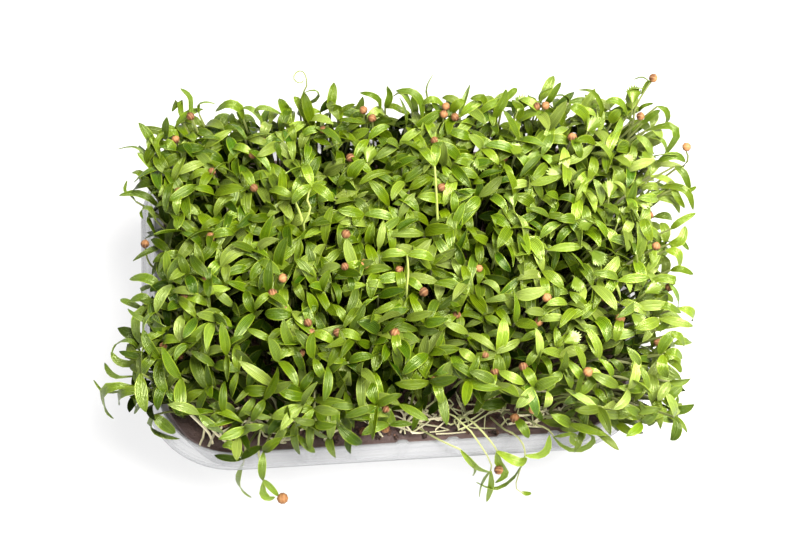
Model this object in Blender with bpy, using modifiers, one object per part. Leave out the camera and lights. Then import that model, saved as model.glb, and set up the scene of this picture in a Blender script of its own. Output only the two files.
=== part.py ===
"""A tray of coriander microgreens: a clear punnet with ribbed walls and a stepped flange, a block of
growing medium, the dense stand of sprouts in twelve patches, and the sprouts along the edges one by one,
with the seed husks that they still carry.

Origin at the middle of the tray's underside, +Z up, +X along the tray's length, -Y towards its front.
"""
import math
import random

import bmesh
import bpy
from mathutils import Vector

MM = 0.001

# Tray: a thermoformed shell of even thickness
TRAY_LENGTH = 187 * MM
TRAY_WIDTH = 134 * MM
TRAY_HEIGHT = 40 * MM
CORNER_RADIUS = 34 * MM
TIGHTEST_CORNER = 3 * MM
CORNER_STEPS = 5
SHEET = 0.6 * MM
FLUTE_PITCH = 18.3 * MM
FLUTE_HALF_WIDTH = 2.0 * MM
FLUTE_DEPTH = 1.2 * MM
FLUTES_LONG_SIDE = 7
FLUTES_SHORT_SIDE = 3
WALL_TOP_INSET = 6.1 * MM
WALL_FOOT_INSET = 11 * MM
WALL_FOOT_HEIGHT = 5 * MM
# Sections of the shell's outer skin, in millimetres: inset from the tray's outer edge, and height.
# The base has a flat panel in the middle, a shallow stiffening channel around it, then the foot ring.
BASE_SECTION = [(28.5, 0), (27, 1.5), (22, 1.5), (20.5, 0), (15.5, 0), (12.2, 1.8)]
# The flange: inset, and drop below the rim. Two steps go down to a short skirt.
FLANGE_SECTION = [(5.9, 0), (4.2, 0), (3.9, 0.8), (2.2, 0.8), (1.9, 1.6), (0.9, 1.6), (0.6, 3.4)]
FLUTE_END = 1.2 * MM

# Growing medium: a block that nearly fills the tray, with a rounded edge and a lumpy top
GAP = 0.35 * MM
MEDIUM_FOOT = 2.45 * MM
MEDIUM_TOP = 32 * MM
MEDIUM_SIDE_CLEARANCE = SHEET + FLUTE_DEPTH + 2 * GAP
MEDIUM_ROUND = 1.2 * MM
MEDIUM_FOOT_INSET = 19 * MM
MEDIUM_FLAT_INSET = 20 * MM
MEDIUM_LUMP_INSETS = [27, 36, 46]
MEDIUM_MIDDLE_INSET = 54 * MM
MEDIUM_SINK = 1.4 * MM
MEDIUM_CORNER_STEPS = 4
MEDIUM_STOPS = [(6, 58 * MM), (3, 30 * MM)]

# Inner stand of sprouts, in patches a little apart. The stand leans as it rises.
PATCH_COLUMNS = 4
PATCH_ROWS = 3
PATCH_GAP = 1.0 * MM
PATCH_SIDES = 16
STAND_FOOT = (-73 * MM, 73 * MM, -46 * MM, 46 * MM)
STAND_TOP = (-76 * MM, 80 * MM, -50 * MM, 42 * MM)
STAND_HEIGHT = 44 * MM
# Share of the stand's height, and how far the patch is drawn in from its cell's edge there, in millimetres:
# the stems first, then the leaves' underside, their widest level and their rounded top
PATCH_LEVELS = [(0.0, 2.5), (0.45, 3.5), (0.62, 0.6), (0.82, 0.4), (0.94, 3.0), (1.0, 8.0)]
PATCH_CORNER_SHARE = 0.9
PATCH_JITTER = 0.35 * MM
PATCH_LUMP = 1.2 * MM

# Sprouts
STEM_RADIUS = 0.6 * MM
STEM_POINTS = 6
STEM_TAPER = 0.3
KNEE_SHARE = 0.3
BUD = 0.8 * MM
LEAF_WIDTH = 4.4 * MM
LEAF_STALK_WIDTH = 0.9 * MM
LEAF_THICKNESS = 0.5 * MM
LEAF_STAGGER = 0.37 * MM
LEAF_STEPS = 4
HUSK_RADIUS = 1.7 * MM
HUSK_RIB = 0.06
HUSK_LENGTH_SHARE = 0.95

# One row for each edge sprout, in millimetres and degrees: name, foot on the medium (x, y), crown where the
# two seed leaves meet (x, y, z), height of the stem's bend, and for each leaf its heading, its reach on plan,
# its rise to the tip, how far it arches up and how far it bows to its left.
EDGE_SPROUTS = [
    ("front_a", (7, -53), (21, -68, 45), 57, ((-23, 12, -12, -2, -3), (-70, 6, -16, 2, 2))),
    ("front_b", (17, -51), (31, -75, 38), 60, ((-133, 6, -14, 2, 0), (-80, 4, -17, 1, 1))),
    ("front_c", (27, -52), (35, -69, 49), 60, ((-16, 11, -10, 2, -2), (-62, 6, -14, 2, 1))),
    ("front_d", (38, -53), (44, -76, 41), 62, ((175, 7, -12, -3, 3), (-40, 7, -15, -4, -4))),
    ("front_e", (50, -52), (53, -67, 51), 60, ((-60, 7, -12, 2, 4), (20, 8, -4, 6, 0))),
    ("front_f", (62, -50), (66, -66, 52), 58, ((-25, 10, -8, 4, -4), (-100, 9, -10, 5, 2))),
    ("front_g", (-44, -52), (-51, -68, 43), 57, ((-56, 8, -16, -2, -4), (-95, 7, -17, -3, -1))),
    ("front_h", (-56, -50), (-60, -66, 47), 57, ((172, 12, -6, 3, 2), (-100, 7, -13, -2, -2))),
    ("front_i", (-34, -53), (-38, -66, 51), 60, ((-130, 6, -13, 4, 1), (-40, 8, -12, 4, 0))),
    ("front_j", (-22, -53), (-22, -65, 54), 60, ((-65, 7, -12, 5, 0), (-150, 8, -10, 6, 0))),
    ("front_k", (-6, -53), (-5, -64, 56), 60, ((-62, 9, -9, 6, 1), (-141, 10, -8, 6, -1))),
    ("left_a", (-80, -17), (-91, -30, 60), 52, ((157, 12, 0, 10, -3), (-165, 11, -4, 4, 5))),
    ("left_b", (-80, -31), (-94, -43, 62), 52, ((-150, 12, -12, 12, -3), (150, 10, -2, 4, 2))),
    ("left_c", (-72, -45), (-86, -57, 57), 50, ((-40, 10, -12, 5, -4), (-160, 10, -8, 6, 0))),
    ("left_d", (-81, 12), (-90, 12, 52), 46, ()),
    ("left_e", (-81, 24), (-88, 28, 70), 60, ((129, 10, 5, 5, 1), (-172, 11, -4, 7, 0))),
    ("left_f", (-79, 36), (-85, 43, 73), 62, ((100, 9, 7, 4, 0), (165, 12, -3, 10, -2))),
    ("left_g", (-81, -4), (-89, -6, 66), 56, ((170, 10, -5, 7, 0), (-130, 10, -8, 6, 0))),
    ("back_a", (-68, 48), (-73, 57, 79), 66, ((66, 5, 10, 2, -2), (165, 7, -2, 9, -1))),
    ("back_b", (-50, 53), (-50, 56, 79), 66, ((110, 10, -2, 9, 0), (60, 9, -4, 8, 0))),
    ("back_c", (-28, 53), (-28, 56, 82), 66, ((40, 8, 6, 3, -3), (140, 9, -2, 8, 0))),
    ("back_d", (-4, 53), (-4, 54, 82), 66, ((146, 10, 2, 9, -1), (58, 6, 8, 1, 1))),
    ("back_e", (18, 53), (18, 55, 83), 66, ((95, 5, 10, 2, 0), (155, 9, -2, 9, 0))),
    ("back_f", (38, 53), (38, 55, 80), 66, ((60, 10, -3, 9, 0), (125, 9, -3, 8, 0))),
    ("back_g", (58, 51), (58, 54, 82), 66, ((37, 8, 7, 2, 0), (120, 7, 5, 2, 2))),
    ("back_h", (72, 45), (78, 52, 82), 66, ((118, 9, 3, 9, -1), (42, 8, 4, 3, 0))),
    ("right_a", (80, 34), (91, 44, 83), 66, ((55, 9, 8, 3, 2), (-5, 8, -4, 8, 0))),
    ("right_b", (81, 22), (101, 28, 78), 64, ((75, 8, 4, 7, -3), (0, 6, -6, 7, 0))),
    ("right_c", (81, 10), (102, 13, 78), 62, ((36, 7, 4, 2, 0), (-36, 8, -9, 9, 2))),
    ("right_d", (81, -2), (99, -2, 78), 60, ((33, 10, -1, 4, -1), (-41, 9, -8, 4, 0))),
    ("right_e", (81, -14), (96, -17, 75), 60, ((4, 9, -2, 6, -1), (-60, 8, -10, 4, -1))),
    ("right_f", (80, -27), (93, -33, 73), 58, ((2, 9, -3, 7, 1), (-58, 7, -11, 4, -1))),
    ("right_g", (75, -41), (87, -50, 68), 54, ((9, 10, 1, 4, -1), (-45, 8, -13, 3, -1))),
]
# The sprouts that still carry a seed husk: on the tip of their first leaf, or on the crown if they have none.
HUSK_CARRIERS = ("front_a", "front_c", "front_g", "left_d", "right_a", "right_c")
# Husks that have dropped onto the medium, in millimetres
DROPPED_HUSKS = [(-14, -54.2), (-77, -37.5), (77, -34)]

COLOURS = {  # base colour, roughness
    "clear_plastic": ((0.86, 0.88, 0.89), 0.2),
    "growing_medium": ((0.06, 0.035, 0.025), 0.95),
    "sprout_green": ((0.20, 0.42, 0.04), 0.5),
    "seed_husk": ((0.50, 0.24, 0.10), 0.7),
}


def clear_scene():
    for obj in list(bpy.data.objects):
        bpy.data.objects.remove(obj, do_unlink=True)


def make_materials():
    """One Principled material for each finish."""
    made = {}
    for name, (colour, roughness) in COLOURS.items():
        material = bpy.data.materials.new(name)
        material.use_nodes = True
        shader = material.node_tree.nodes["Principled BSDF"]
        shader.inputs["Base Color"].default_value = (*colour, 1.0)
        shader.inputs["Roughness"].default_value = roughness
        shader.inputs["Metallic"].default_value = 0.0
        made[name] = material
    return made


def add_object(name, bm, material):
    """Turns a bmesh into a named object of the tray's collection."""
    mesh = bpy.data.meshes.new(name)
    bm.to_mesh(mesh)
    bm.free()
    obj = bpy.data.objects.new(name, mesh)
    obj.data.materials.append(material)
    collection.objects.link(obj)
    return obj


def outline_stations(corner_steps, long_stops, short_stops):
    """The stations around a rounded rectangle, counter-clockwise from the front side's left end.

    A station is (side or corner number, place along it, how much of the flute's depth it takes). The stops
    of a side run along it from its first corner to its next, in metres from its middle.
    """
    stations = []
    for quarter, stops in enumerate((long_stops, short_stops, long_stops, short_stops)):
        stations += [("side", quarter, place, share) for place, share in stops]
        stations += [("corner", quarter, step / corner_steps, 0.0) for step in range(corner_steps + 1)]
    return stations


def outline_ring(stations, inset, height, flute=0.0):
    """The points of a rounded rectangle drawn inset from the tray's outer edge."""
    half_x, half_y = TRAY_LENGTH / 2 - inset, TRAY_WIDTH / 2 - inset
    radius = max(CORNER_RADIUS - inset, TIGHTEST_CORNER)
    points = []
    for kind, quarter, place, share in stations:
        if kind == "side":
            along = half_x - radius if quarter % 2 == 0 else half_y - radius
            depth = half_y if quarter % 2 == 0 else half_x
            local = Vector((max(-along, min(along, place)), -(depth - share * flute)))
        else:
            swing = math.radians(90) * place - math.radians(90)
            corner = Vector((half_x - radius, -(half_y - radius)))
            if quarter % 2:
                corner = Vector((half_y - radius, -(half_x - radius)))
            local = corner + Vector((math.cos(swing), math.sin(swing))) * radius
        turn = math.radians(90) * quarter
        points.append(Vector((local.x * math.cos(turn) - local.y * math.sin(turn),
                              local.x * math.sin(turn) + local.y * math.cos(turn), height)))
    return points


def loft(bm, rings):
    """Joins rings of equally many points with quads, and returns the rings' vertices."""
    loops = [[bm.verts.new(point) for point in ring] for ring in rings]
    for lower, upper in zip(loops, loops[1:]):
        for i in range(len(lower)):
            k = (i + 1) % len(lower)
            bm.faces.new((lower[i], lower[k], upper[k], upper[i]))
    return loops


def flute_stops(count):
    """The stations of the flutes along one side: each flute is a shallow V."""
    stops = []
    for number in range(count):
        middle = (number - (count - 1) / 2) * FLUTE_PITCH
        stops += [(middle - FLUTE_HALF_WIDTH, 0.0), (middle, 1.0), (middle + FLUTE_HALF_WIDTH, 0.0)]
    return stops


def make_tray(material):
    """The shell, from the middle of the base out to the flange's skirt. The flutes run up the wall."""
    stations = outline_stations(CORNER_STEPS, flute_stops(FLUTES_LONG_SIDE), flute_stops(FLUTES_SHORT_SIDE))
    top = TRAY_HEIGHT - SHEET
    profile = [(inset * MM, height * MM, 0.0) for inset, height in BASE_SECTION]
    profile.append((WALL_FOOT_INSET, WALL_FOOT_HEIGHT, FLUTE_DEPTH))
    profile.append((WALL_TOP_INSET, top - FLUTE_END, FLUTE_DEPTH))
    profile += [(inset * MM, top - drop * MM, 0.0) for inset, drop in FLANGE_SECTION]
    bm = bmesh.new()
    loops = loft(bm, [outline_ring(stations, *level) for level in profile])
    bm.faces.new(list(reversed(loops[0])))
    tray = add_object("tray", bm, material)
    shell = tray.modifiers.new("sheet", "SOLIDIFY")
    shell.thickness = SHEET
    shell.offset = -1.0
    shell.use_even_offset = True
    return tray


def even_stops(count, half):
    """Plain stations spread evenly over a side."""
    return [((i + 0.5) / count * 2 * half - half, 0.0) for i in range(count)]


def make_medium(material):
    """The block of growing medium: flat where the edge sprouts stand, and sunken in lumps further in."""
    rng = random.Random(4)
    stations = outline_stations(MEDIUM_CORNER_STEPS, *[even_stops(*stops) for stops in MEDIUM_STOPS])
    slope = (WALL_FOOT_INSET - WALL_TOP_INSET) / (TRAY_HEIGHT - WALL_FOOT_HEIGHT)
    foot_inset = WALL_FOOT_INSET + MEDIUM_SIDE_CLEARANCE
    top_inset = foot_inset - slope * (MEDIUM_TOP - WALL_FOOT_HEIGHT)
    rings = [
        outline_ring(stations, MEDIUM_FOOT_INSET, MEDIUM_FOOT),
        outline_ring(stations, foot_inset, WALL_FOOT_HEIGHT + MEDIUM_ROUND),
        outline_ring(stations, top_inset, MEDIUM_TOP - MEDIUM_ROUND),
        outline_ring(stations, top_inset + MEDIUM_ROUND, MEDIUM_TOP),
        outline_ring(stations, MEDIUM_FLAT_INSET, MEDIUM_TOP),
    ]
    for inset in MEDIUM_LUMP_INSETS:
        ring = outline_ring(stations, inset * MM, MEDIUM_TOP)
        for point in ring:
            point.z -= rng.uniform(0.2, 1.0) * MEDIUM_SINK
        rings.append(ring)
    rings.append(outline_ring(stations, MEDIUM_MIDDLE_INSET, MEDIUM_TOP - MEDIUM_SINK / 2))
    bm = bmesh.new()
    loops = loft(bm, rings)
    bm.faces.new(list(reversed(loops[0])))
    bm.faces.new(loops[-1])
    return add_object("growing_medium", bm, material)


def make_patch(row, column, material, rng):
    """One patch of the inner stand: the bundle of stems, the leaves' underside and their lumpy top."""
    def cell(box):
        x0, x1, y0, y1 = box
        wide, deep = (x1 - x0) / PATCH_COLUMNS, (y1 - y0) / PATCH_ROWS
        centre = Vector((x0 + (column + 0.5) * wide, y0 + (row + 0.5) * deep, 0))
        return centre, wide / 2 - PATCH_GAP / 2, deep / 2 - PATCH_GAP / 2

    low_centre, low_x, low_y = cell(STAND_FOOT)
    top_centre, top_x, top_y = cell(STAND_TOP)
    rings = []
    for share, inset in PATCH_LEVELS:
        centre = low_centre.lerp(top_centre, share)
        half_x = low_x + (top_x - low_x) * share - inset * MM
        half_y = low_y + (top_y - low_y) * share - inset * MM
        ring = []
        for side in range(PATCH_SIDES):
            angle = math.tau * (side + 0.5) / PATCH_SIDES
            square = max(abs(math.cos(angle)), abs(math.sin(angle)))
            reach = PATCH_CORNER_SHARE / square + 1 - PATCH_CORNER_SHARE
            draw = rng.uniform(0, 1) * PATCH_JITTER if share else 0.0
            lift = rng.uniform(-1, 1) * PATCH_LUMP if 0.5 < share else 0.0
            ring.append(centre + Vector((math.cos(angle) * (half_x - draw) * reach,
                                         math.sin(angle) * (half_y - draw) * reach,
                                         MEDIUM_TOP + GAP + share * STAND_HEIGHT + lift)))
        rings.append(ring)
    bm = bmesh.new()
    loops = loft(bm, rings)
    bm.faces.new(list(reversed(loops[0])))
    bm.faces.new(loops[-1])
    return add_object(f"sprout_patch_{row + 1}_{column + 1}", bm, material)


def bend(points, share):
    """A point on the Bezier curve of these control points."""
    points = [Vector(point) for point in points]
    while len(points) > 1:
        points = [a.lerp(b, share) for a, b in zip(points, points[1:])]
    return points[0]


def make_stem(route, material):
    """A tapering round stem along the route, as a closed mesh object."""
    curve = bpy.data.curves.new("stem", "CURVE")
    curve.dimensions = "3D"
    curve.bevel_depth = STEM_RADIUS
    curve.bevel_resolution = 1
    curve.use_fill_caps = True
    spline = curve.splines.new("POLY")
    places = [bend(route, i / (STEM_POINTS - 1)) for i in range(STEM_POINTS)]
    places.append(places[-1] + (places[-1] - places[-2]).normalized() * BUD)
    spline.points.add(len(places) - 1)
    for number, (point, place) in enumerate(zip(spline.points, places)):
        point.co = (*place, 1.0)
        point.radius = 1.0 - STEM_TAPER * number / len(places)
    guide = bpy.data.objects.new("stem", curve)
    collection.objects.link(guide)
    bpy.context.view_layer.update()
    depsgraph = bpy.context.evaluated_depsgraph_get()
    mesh = bpy.data.meshes.new_from_object(guide.evaluated_get(depsgraph))
    stem = bpy.data.objects.new("stem", mesh)
    stem.matrix_world = guide.matrix_world
    collection.objects.link(stem)
    bpy.data.objects.remove(guide, do_unlink=True)
    bm = bmesh.new()
    bm.from_mesh(mesh)
    bmesh.ops.remove_doubles(bm, verts=bm.verts, dist=0.01 * MM)
    bmesh.ops.recalc_face_normals(bm, faces=bm.faces)
    bm.to_mesh(mesh)
    bm.free()
    stem.data.materials.clear()
    stem.data.materials.append(material)
    return stem


def leaf_route(crown, leaf):
    """The control points of a leaf's midline."""
    heading, reach, rise, arch, bow = leaf
    forward = Vector((math.cos(math.radians(heading)), math.sin(math.radians(heading)), 0))
    left = Vector((-forward.y, forward.x, 0))
    tip = crown + (forward * reach + Vector((0, 0, rise))) * MM
    middle = (crown + tip) / 2 + (left * bow + Vector((0, 0, arch))) * MM
    return crown, middle, tip


def leaf_width(share):
    """Full width of a seed leaf: a narrow stalk, the broad blade and a pointed tip."""
    blade = math.sin(math.pi * min(1.0, 0.06 + share * 0.9)) ** 0.8
    return max(LEAF_STALK_WIDTH, LEAF_WIDTH * blade * (0.35 + 0.65 * min(1.0, share / 0.35)))


def make_leaf(crown, leaf, material):
    """A closed blade that follows its midline."""
    route = leaf_route(crown, leaf)
    heading = math.radians(leaf[0])
    left = Vector((-math.sin(heading), math.cos(heading), 0))
    bm = bmesh.new()
    bmesh.ops.create_grid(bm, x_segments=1, y_segments=LEAF_STEPS, size=0.5)
    for vert in bm.verts:
        across, share = vert.co.x * 2, vert.co.y + 0.5
        place = bend(route, share)
        along = (bend(route, min(1, share + 0.02)) - bend(route, max(0, share - 0.02))).normalized()
        normal = along.cross(left).normalized()
        side = normal.cross(along)
        vert.co = place + side * across * leaf_width(share) / 2
    bmesh.ops.solidify(bm, geom=bm.faces[:], thickness=LEAF_THICKNESS)
    bmesh.ops.recalc_face_normals(bm, faces=bm.faces)
    return add_object("leaf", bm, material)


def unite(base, pieces):
    """Joins the pieces to the base as one solid and removes them."""
    for piece in pieces:
        union = base.modifiers.new(piece.name, "BOOLEAN")
        union.operation = "UNION"
        union.object = piece
    bpy.context.view_layer.update()
    depsgraph = bpy.context.evaluated_depsgraph_get()
    joined = bpy.data.meshes.new_from_object(base.evaluated_get(depsgraph))
    base.modifiers.clear()
    base.data = joined
    for piece in pieces:
        bpy.data.objects.remove(piece, do_unlink=True)


def make_edge_sprout(row, material):
    """One sprout: its stem and its two seed leaves as one body."""
    name, foot, crown, bend_height, leaves = row
    foot = Vector((foot[0] * MM, foot[1] * MM, MEDIUM_TOP + 2 * GAP))
    crown = Vector(crown) * MM
    knee = foot.lerp(crown, KNEE_SHARE)
    knee.z = bend_height * MM
    stem = make_stem((foot, knee, crown), material)
    unite(stem, [make_leaf(crown - Vector((0, 0, number * LEAF_STAGGER)), leaf, material)
                 for number, leaf in enumerate(leaves)])
    stem.name = f"sprout_{name}"
    stem.data.name = stem.name
    return stem


def make_husk(name, centre, material):
    """A ribbed round husk."""
    bm = bmesh.new()
    bmesh.ops.create_uvsphere(bm, u_segments=8, v_segments=6, radius=HUSK_RADIUS)
    for vert in bm.verts:
        angle = math.atan2(vert.co.y, vert.co.x)
        vert.co.xy *= 1.0 + HUSK_RIB * math.cos(4 * angle)
        vert.co.z *= HUSK_LENGTH_SHARE
    bmesh.ops.translate(bm, verts=bm.verts, vec=centre)
    return add_object(name, bm, material)


def husk_place(row):
    """Where the husk sits: just past the first leaf's tip, or past the crown."""
    _, foot, crown, bend_height, leaves = row
    crown = Vector(crown) * MM
    if leaves:
        _, middle, tip = leaf_route(crown, leaves[0])
    else:
        middle, tip = Vector((foot[0] * MM, foot[1] * MM, bend_height * MM)), crown
    away = (tip - middle).normalized()
    return tip + away * (HUSK_RADIUS * (1 + HUSK_RIB) + 2 * GAP + (0.0 if leaves else BUD))


clear_scene()
collection = bpy.data.collections.new("microgreens_tray")
bpy.context.scene.collection.children.link(collection)
materials = make_materials()
make_tray(materials["clear_plastic"])
make_medium(materials["growing_medium"])
patch_rng = random.Random(11)
for row_number in range(PATCH_ROWS):
    for column_number in range(PATCH_COLUMNS):
        make_patch(row_number, column_number, materials["sprout_green"], patch_rng)
for sprout_row in EDGE_SPROUTS:
    make_edge_sprout(sprout_row, materials["sprout_green"])
    if sprout_row[0] in HUSK_CARRIERS:
        make_husk(f"seed_husk_{sprout_row[0]}", husk_place(sprout_row), materials["seed_husk"])
for number, (x, y) in enumerate(DROPPED_HUSKS, start=1):
    resting = Vector((x * MM, y * MM, MEDIUM_TOP + GAP + HUSK_RADIUS))
    make_husk(f"seed_husk_dropped_{number}", resting, materials["seed_husk"])
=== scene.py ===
"""A tray of coriander seedlings: the clear ribbed tray, the growing medium with its crumbs and roots, the
dense stand of seedlings that leans out over the rim, and the seed husks that some of them still carry.

Lengths in the tables are millimetres, angles are degrees. +Z is up, +X runs along the tray and -Y to its
front.
"""
import math
import random

import bmesh
import bpy
from mathutils import Matrix, Vector, noise


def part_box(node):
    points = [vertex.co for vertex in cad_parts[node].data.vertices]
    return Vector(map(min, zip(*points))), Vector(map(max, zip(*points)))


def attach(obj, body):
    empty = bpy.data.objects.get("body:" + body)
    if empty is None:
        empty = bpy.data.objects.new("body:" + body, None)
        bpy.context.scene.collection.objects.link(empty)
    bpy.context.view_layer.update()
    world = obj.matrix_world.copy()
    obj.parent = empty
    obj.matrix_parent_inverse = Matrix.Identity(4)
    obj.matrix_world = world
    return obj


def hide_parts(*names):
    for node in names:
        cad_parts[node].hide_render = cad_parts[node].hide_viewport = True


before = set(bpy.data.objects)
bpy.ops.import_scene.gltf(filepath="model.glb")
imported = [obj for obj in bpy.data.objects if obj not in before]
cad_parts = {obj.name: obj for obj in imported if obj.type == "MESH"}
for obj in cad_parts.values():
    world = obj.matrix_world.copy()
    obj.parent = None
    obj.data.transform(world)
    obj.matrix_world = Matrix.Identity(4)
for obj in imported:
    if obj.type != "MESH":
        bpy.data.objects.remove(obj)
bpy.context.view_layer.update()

MM = 0.001
TRAY_LOW, TRAY_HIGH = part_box("tray")
MEDIUM_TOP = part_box("growing_medium")[1].z / MM

# Camera, lights as (name, place, diameter, power, colour) in metres and watts, and what they all point at
CAMERA_PLACE = Vector((-15.9, -296.3, 724.0)) * MM
CAMERA_LOOKS_AT = Vector((2.36, -10.17, 80.0)) * MM
CAMERA_LENS = 90
CAMERA_SENSOR = 36
LIGHTS = [
    ("key", (0.32, -0.02, 0.78), 0.6, 35.0, (1.0, 0.98, 0.93)),
    ("fill", (-0.5, -0.8, 0.9), 1.0, 13.0, (1.0, 1.0, 1.0)),
]
LIGHTS_LOOK_AT = (0, 0, 0.05)
SURROUNDING_LIGHT = 0.055

# Tray: sections as (inset from the outer edge, height), rounded by FILLET
SHEET = 0.6
CORNER_RADIUS = 34
CORNER_STEPS = 14
FLUTE_PITCH = 18.3
FLUTE_HALF_WIDTH = 2.6
FLUTE_DEPTH = 1.2
FLUTE_STEPS = 8
FLUTES = (7, 3)
BASE_SECTION = [(28.5, 0), (27, 1.5), (22, 1.5), (20.5, 0), (15.5, 0), (12.2, 1.8)]
WALL_SECTION = [(11, 5), (5.2, 38.2)]
FLANGE_SECTION = [(5.0, 39.4), (3.9, 39.3), (3.2, 38.7), (2.1, 38.6), (1.4, 38.0), (0.9, 37.8), (0.5, 36.0)]
FILLET = 0.35
FILLET_STEPS = 3

# Growing medium
MEDIUM_FILL = 4
MEDIUM_SECTION = [(19, 2.5, 0), (13.6, 3.8, 0), (12.2, 6, FLUTE_DEPTH), (7.5, 30.6, FLUTE_DEPTH),
                  (7.8, 32.2, FLUTE_DEPTH)]
MEDIUM_RINGS = [9.0, 10.4, 12, 13.8, 15.4, 17, 18.8, 20.6, 22.5, 24.5, 27, 30, 34, 38, 43, 49, 55, 60, 64]
CRUMBS = 700
CRUMB_HALF_X, CRUMB_HALF_Y = 93.5, 67
CRUMB_INSET = 9.9

# Seeds of the random draws
STAND_SEED = 27
EDGE_SEED = 63
HUSK_SEED = 8
CRUMB_SEED = 5
ROOT_SEED = 11

# Seedlings
STAND_HALF_X, STAND_HALF_Y = 79.0, 53.0
STAND_FRONT, STAND_BACK = -51, 52
STAND_CORNER_X, STAND_CORNER_Y, STAND_CORNER_RADIUS = 62, 36, 19
STEM_SUNK = 0.6
CANOPY_HEIGHT = 76
LOW_SHARE = 0.52
HUSK_SHARE = 0.035
LEAF_LENGTH = 12.6
LEAF_WIDTHS = (3.0, 4.1)
SPACING = 3.6
RIM_SPACING = 3.4
RIM_INSET = 13.5
STEM_RADIUS = 0.60
STEM_SIDES = 5
STEM_CUTS = 6
BLADE_ROWS = 8
BLADE_COLUMNS = 2
BLADE_THICKNESS = 0.26
BLADE_PROFILE = (0.18, 0.53, 0.83, 0.98, 1.0, 0.95, 0.82, 0.59, 0.06)
PATCH_COLUMNS = 4
PATCH_ROWS = 3
PATCHES_HALF_X, PATCHES_HALF_Y = 80, 53


def bezier(points, share):
    """A point on the Bezier curve of these control points."""
    points = [Vector(point) for point in points]
    while len(points) > 1:
        points = [a.lerp(b, share) for a, b in zip(points, points[1:])]
    return points[0]


def spline(points, share):
    """A point on the smooth curve that passes through these points."""
    last = len(points) - 1
    place = share * last
    number = min(int(place), last - 1)
    near = [points[max(0, min(last, number + step))] for step in (-1, 0, 1, 2)]
    before, start, end, after = map(Vector, near)
    t = place - number
    return 0.5 * (2 * start + (end - before) * t + (2 * before - 5 * start + 4 * end - after) * t ** 2
                  + (3 * start - before - 3 * end + after) * t ** 3)


def tangent(curve, points, share):
    """The direction of a curve, which is one of the two functions above."""
    step = 0.02
    return (curve(points, min(1.0, share + step)) - curve(points, max(0.0, share - step))).normalized()


def smooth(low, high, value):
    """0 at low and before it, 1 at high and past it, and a smooth ramp between."""
    share = max(0.0, min(1.0, (value - low) / (high - low)))
    return share * share * (3 - 2 * share)


# ---------------------------------------------------------------- materials

def fill_inputs(tree, node, inputs):
    """Sets each named input of the node to a value or links it to a socket."""
    for key, value in inputs.items():
        if isinstance(value, bpy.types.NodeSocket):
            tree.links.new(value, node.inputs[key])
        else:
            node.inputs[key].default_value = value


def add_node(tree, kind, inputs=None, **settings):
    node = tree.nodes.new(kind)
    for key, value in settings.items():
        setattr(node, key, value)
    fill_inputs(tree, node, inputs or {})
    return node


def math_node(tree, operation, first, second=0.0):
    return add_node(tree, "ShaderNodeMath", {0: first, 1: second}, operation=operation).outputs[0]


def scaled_sum(tree, value, factor, added):
    """The value times the factor, plus what is added."""
    return math_node(tree, "ADD", math_node(tree, "MULTIPLY", value, factor), added)


def ramp(tree, value, start, end, low=0.0, high=1.0):
    """Runs from low to high while the value runs from start to end, and stays level outside them."""
    return add_node(tree, "ShaderNodeMapRange", {"Value": value, "From Min": start, "From Max": end,
                                                 "To Min": low, "To Max": high}).outputs[0]


def mix_colours(tree, share, first, second, blend="MIX"):
    return add_node(tree, "ShaderNodeMix", {0: share, 6: first, 7: second}, data_type="RGBA",
                    blend_type=blend).outputs[2]


def new_group(name, inputs, outputs):
    """An empty node group with its sockets: name, kind and default of each input, name and kind of each
    output."""
    tree = bpy.data.node_groups.new(name, "ShaderNodeTree")
    for label, kind, value in inputs:
        socket = tree.interface.new_socket(label, in_out="INPUT", socket_type=kind)
        if value is not None:
            socket.default_value = value
    for label, kind in outputs:
        tree.interface.new_socket(label, in_out="OUTPUT", socket_type=kind)
    return tree, tree.nodes.new("NodeGroupInput"), tree.nodes.new("NodeGroupOutput")


def mottle_group():
    """Soft patches of a second colour over a first, at a scale per metre."""
    tree, inner, outer = new_group(
        "mottle",
        [("Vector", "NodeSocketVector", None), ("Scale", "NodeSocketFloat", 200.0),
         ("Amount", "NodeSocketFloat", 0.5), ("First", "NodeSocketColor", (1, 1, 1, 1)),
         ("Second", "NodeSocketColor", (0, 0, 0, 1))],
        [("Colour", "NodeSocketColor"), ("Mask", "NodeSocketFloat")])
    cloud = add_node(tree, "ShaderNodeTexNoise", {"Vector": inner.outputs["Vector"],
                                                  "Scale": inner.outputs["Scale"], "Detail": 4.0})
    patches = ramp(tree, cloud.outputs["Fac"], 0.35, 0.65)
    mask = math_node(tree, "MULTIPLY", patches, inner.outputs["Amount"])
    colour = mix_colours(tree, mask, inner.outputs["First"], inner.outputs["Second"])
    fill_inputs(tree, outer, {"Colour": colour, "Mask": mask})
    return tree


def vein_group():
    """Thin lines that run along a blade, close to each other at its base and tip."""
    tree, inner, outer = new_group(
        "parallel_veins",
        [("Across", "NodeSocketFloat", 0.0), ("Count", "NodeSocketFloat", 5.0),
         ("Sharpness", "NodeSocketFloat", 6.0)],
        [("Line", "NodeSocketFloat"), ("Midrib", "NodeSocketFloat")])
    turned = math_node(tree, "MULTIPLY", inner.outputs["Across"], inner.outputs["Count"])
    wave = math_node(tree, "COSINE", math_node(tree, "MULTIPLY", turned, math.pi))
    line = math_node(tree, "POWER", math_node(tree, "ABSOLUTE", wave), inner.outputs["Sharpness"])
    off_middle = math_node(tree, "ABSOLUTE", inner.outputs["Across"])
    fill_inputs(tree, outer, {"Line": line, "Midrib": ramp(tree, off_middle, 0.0, 0.14, 1.0, 0.0)})
    return tree


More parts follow.
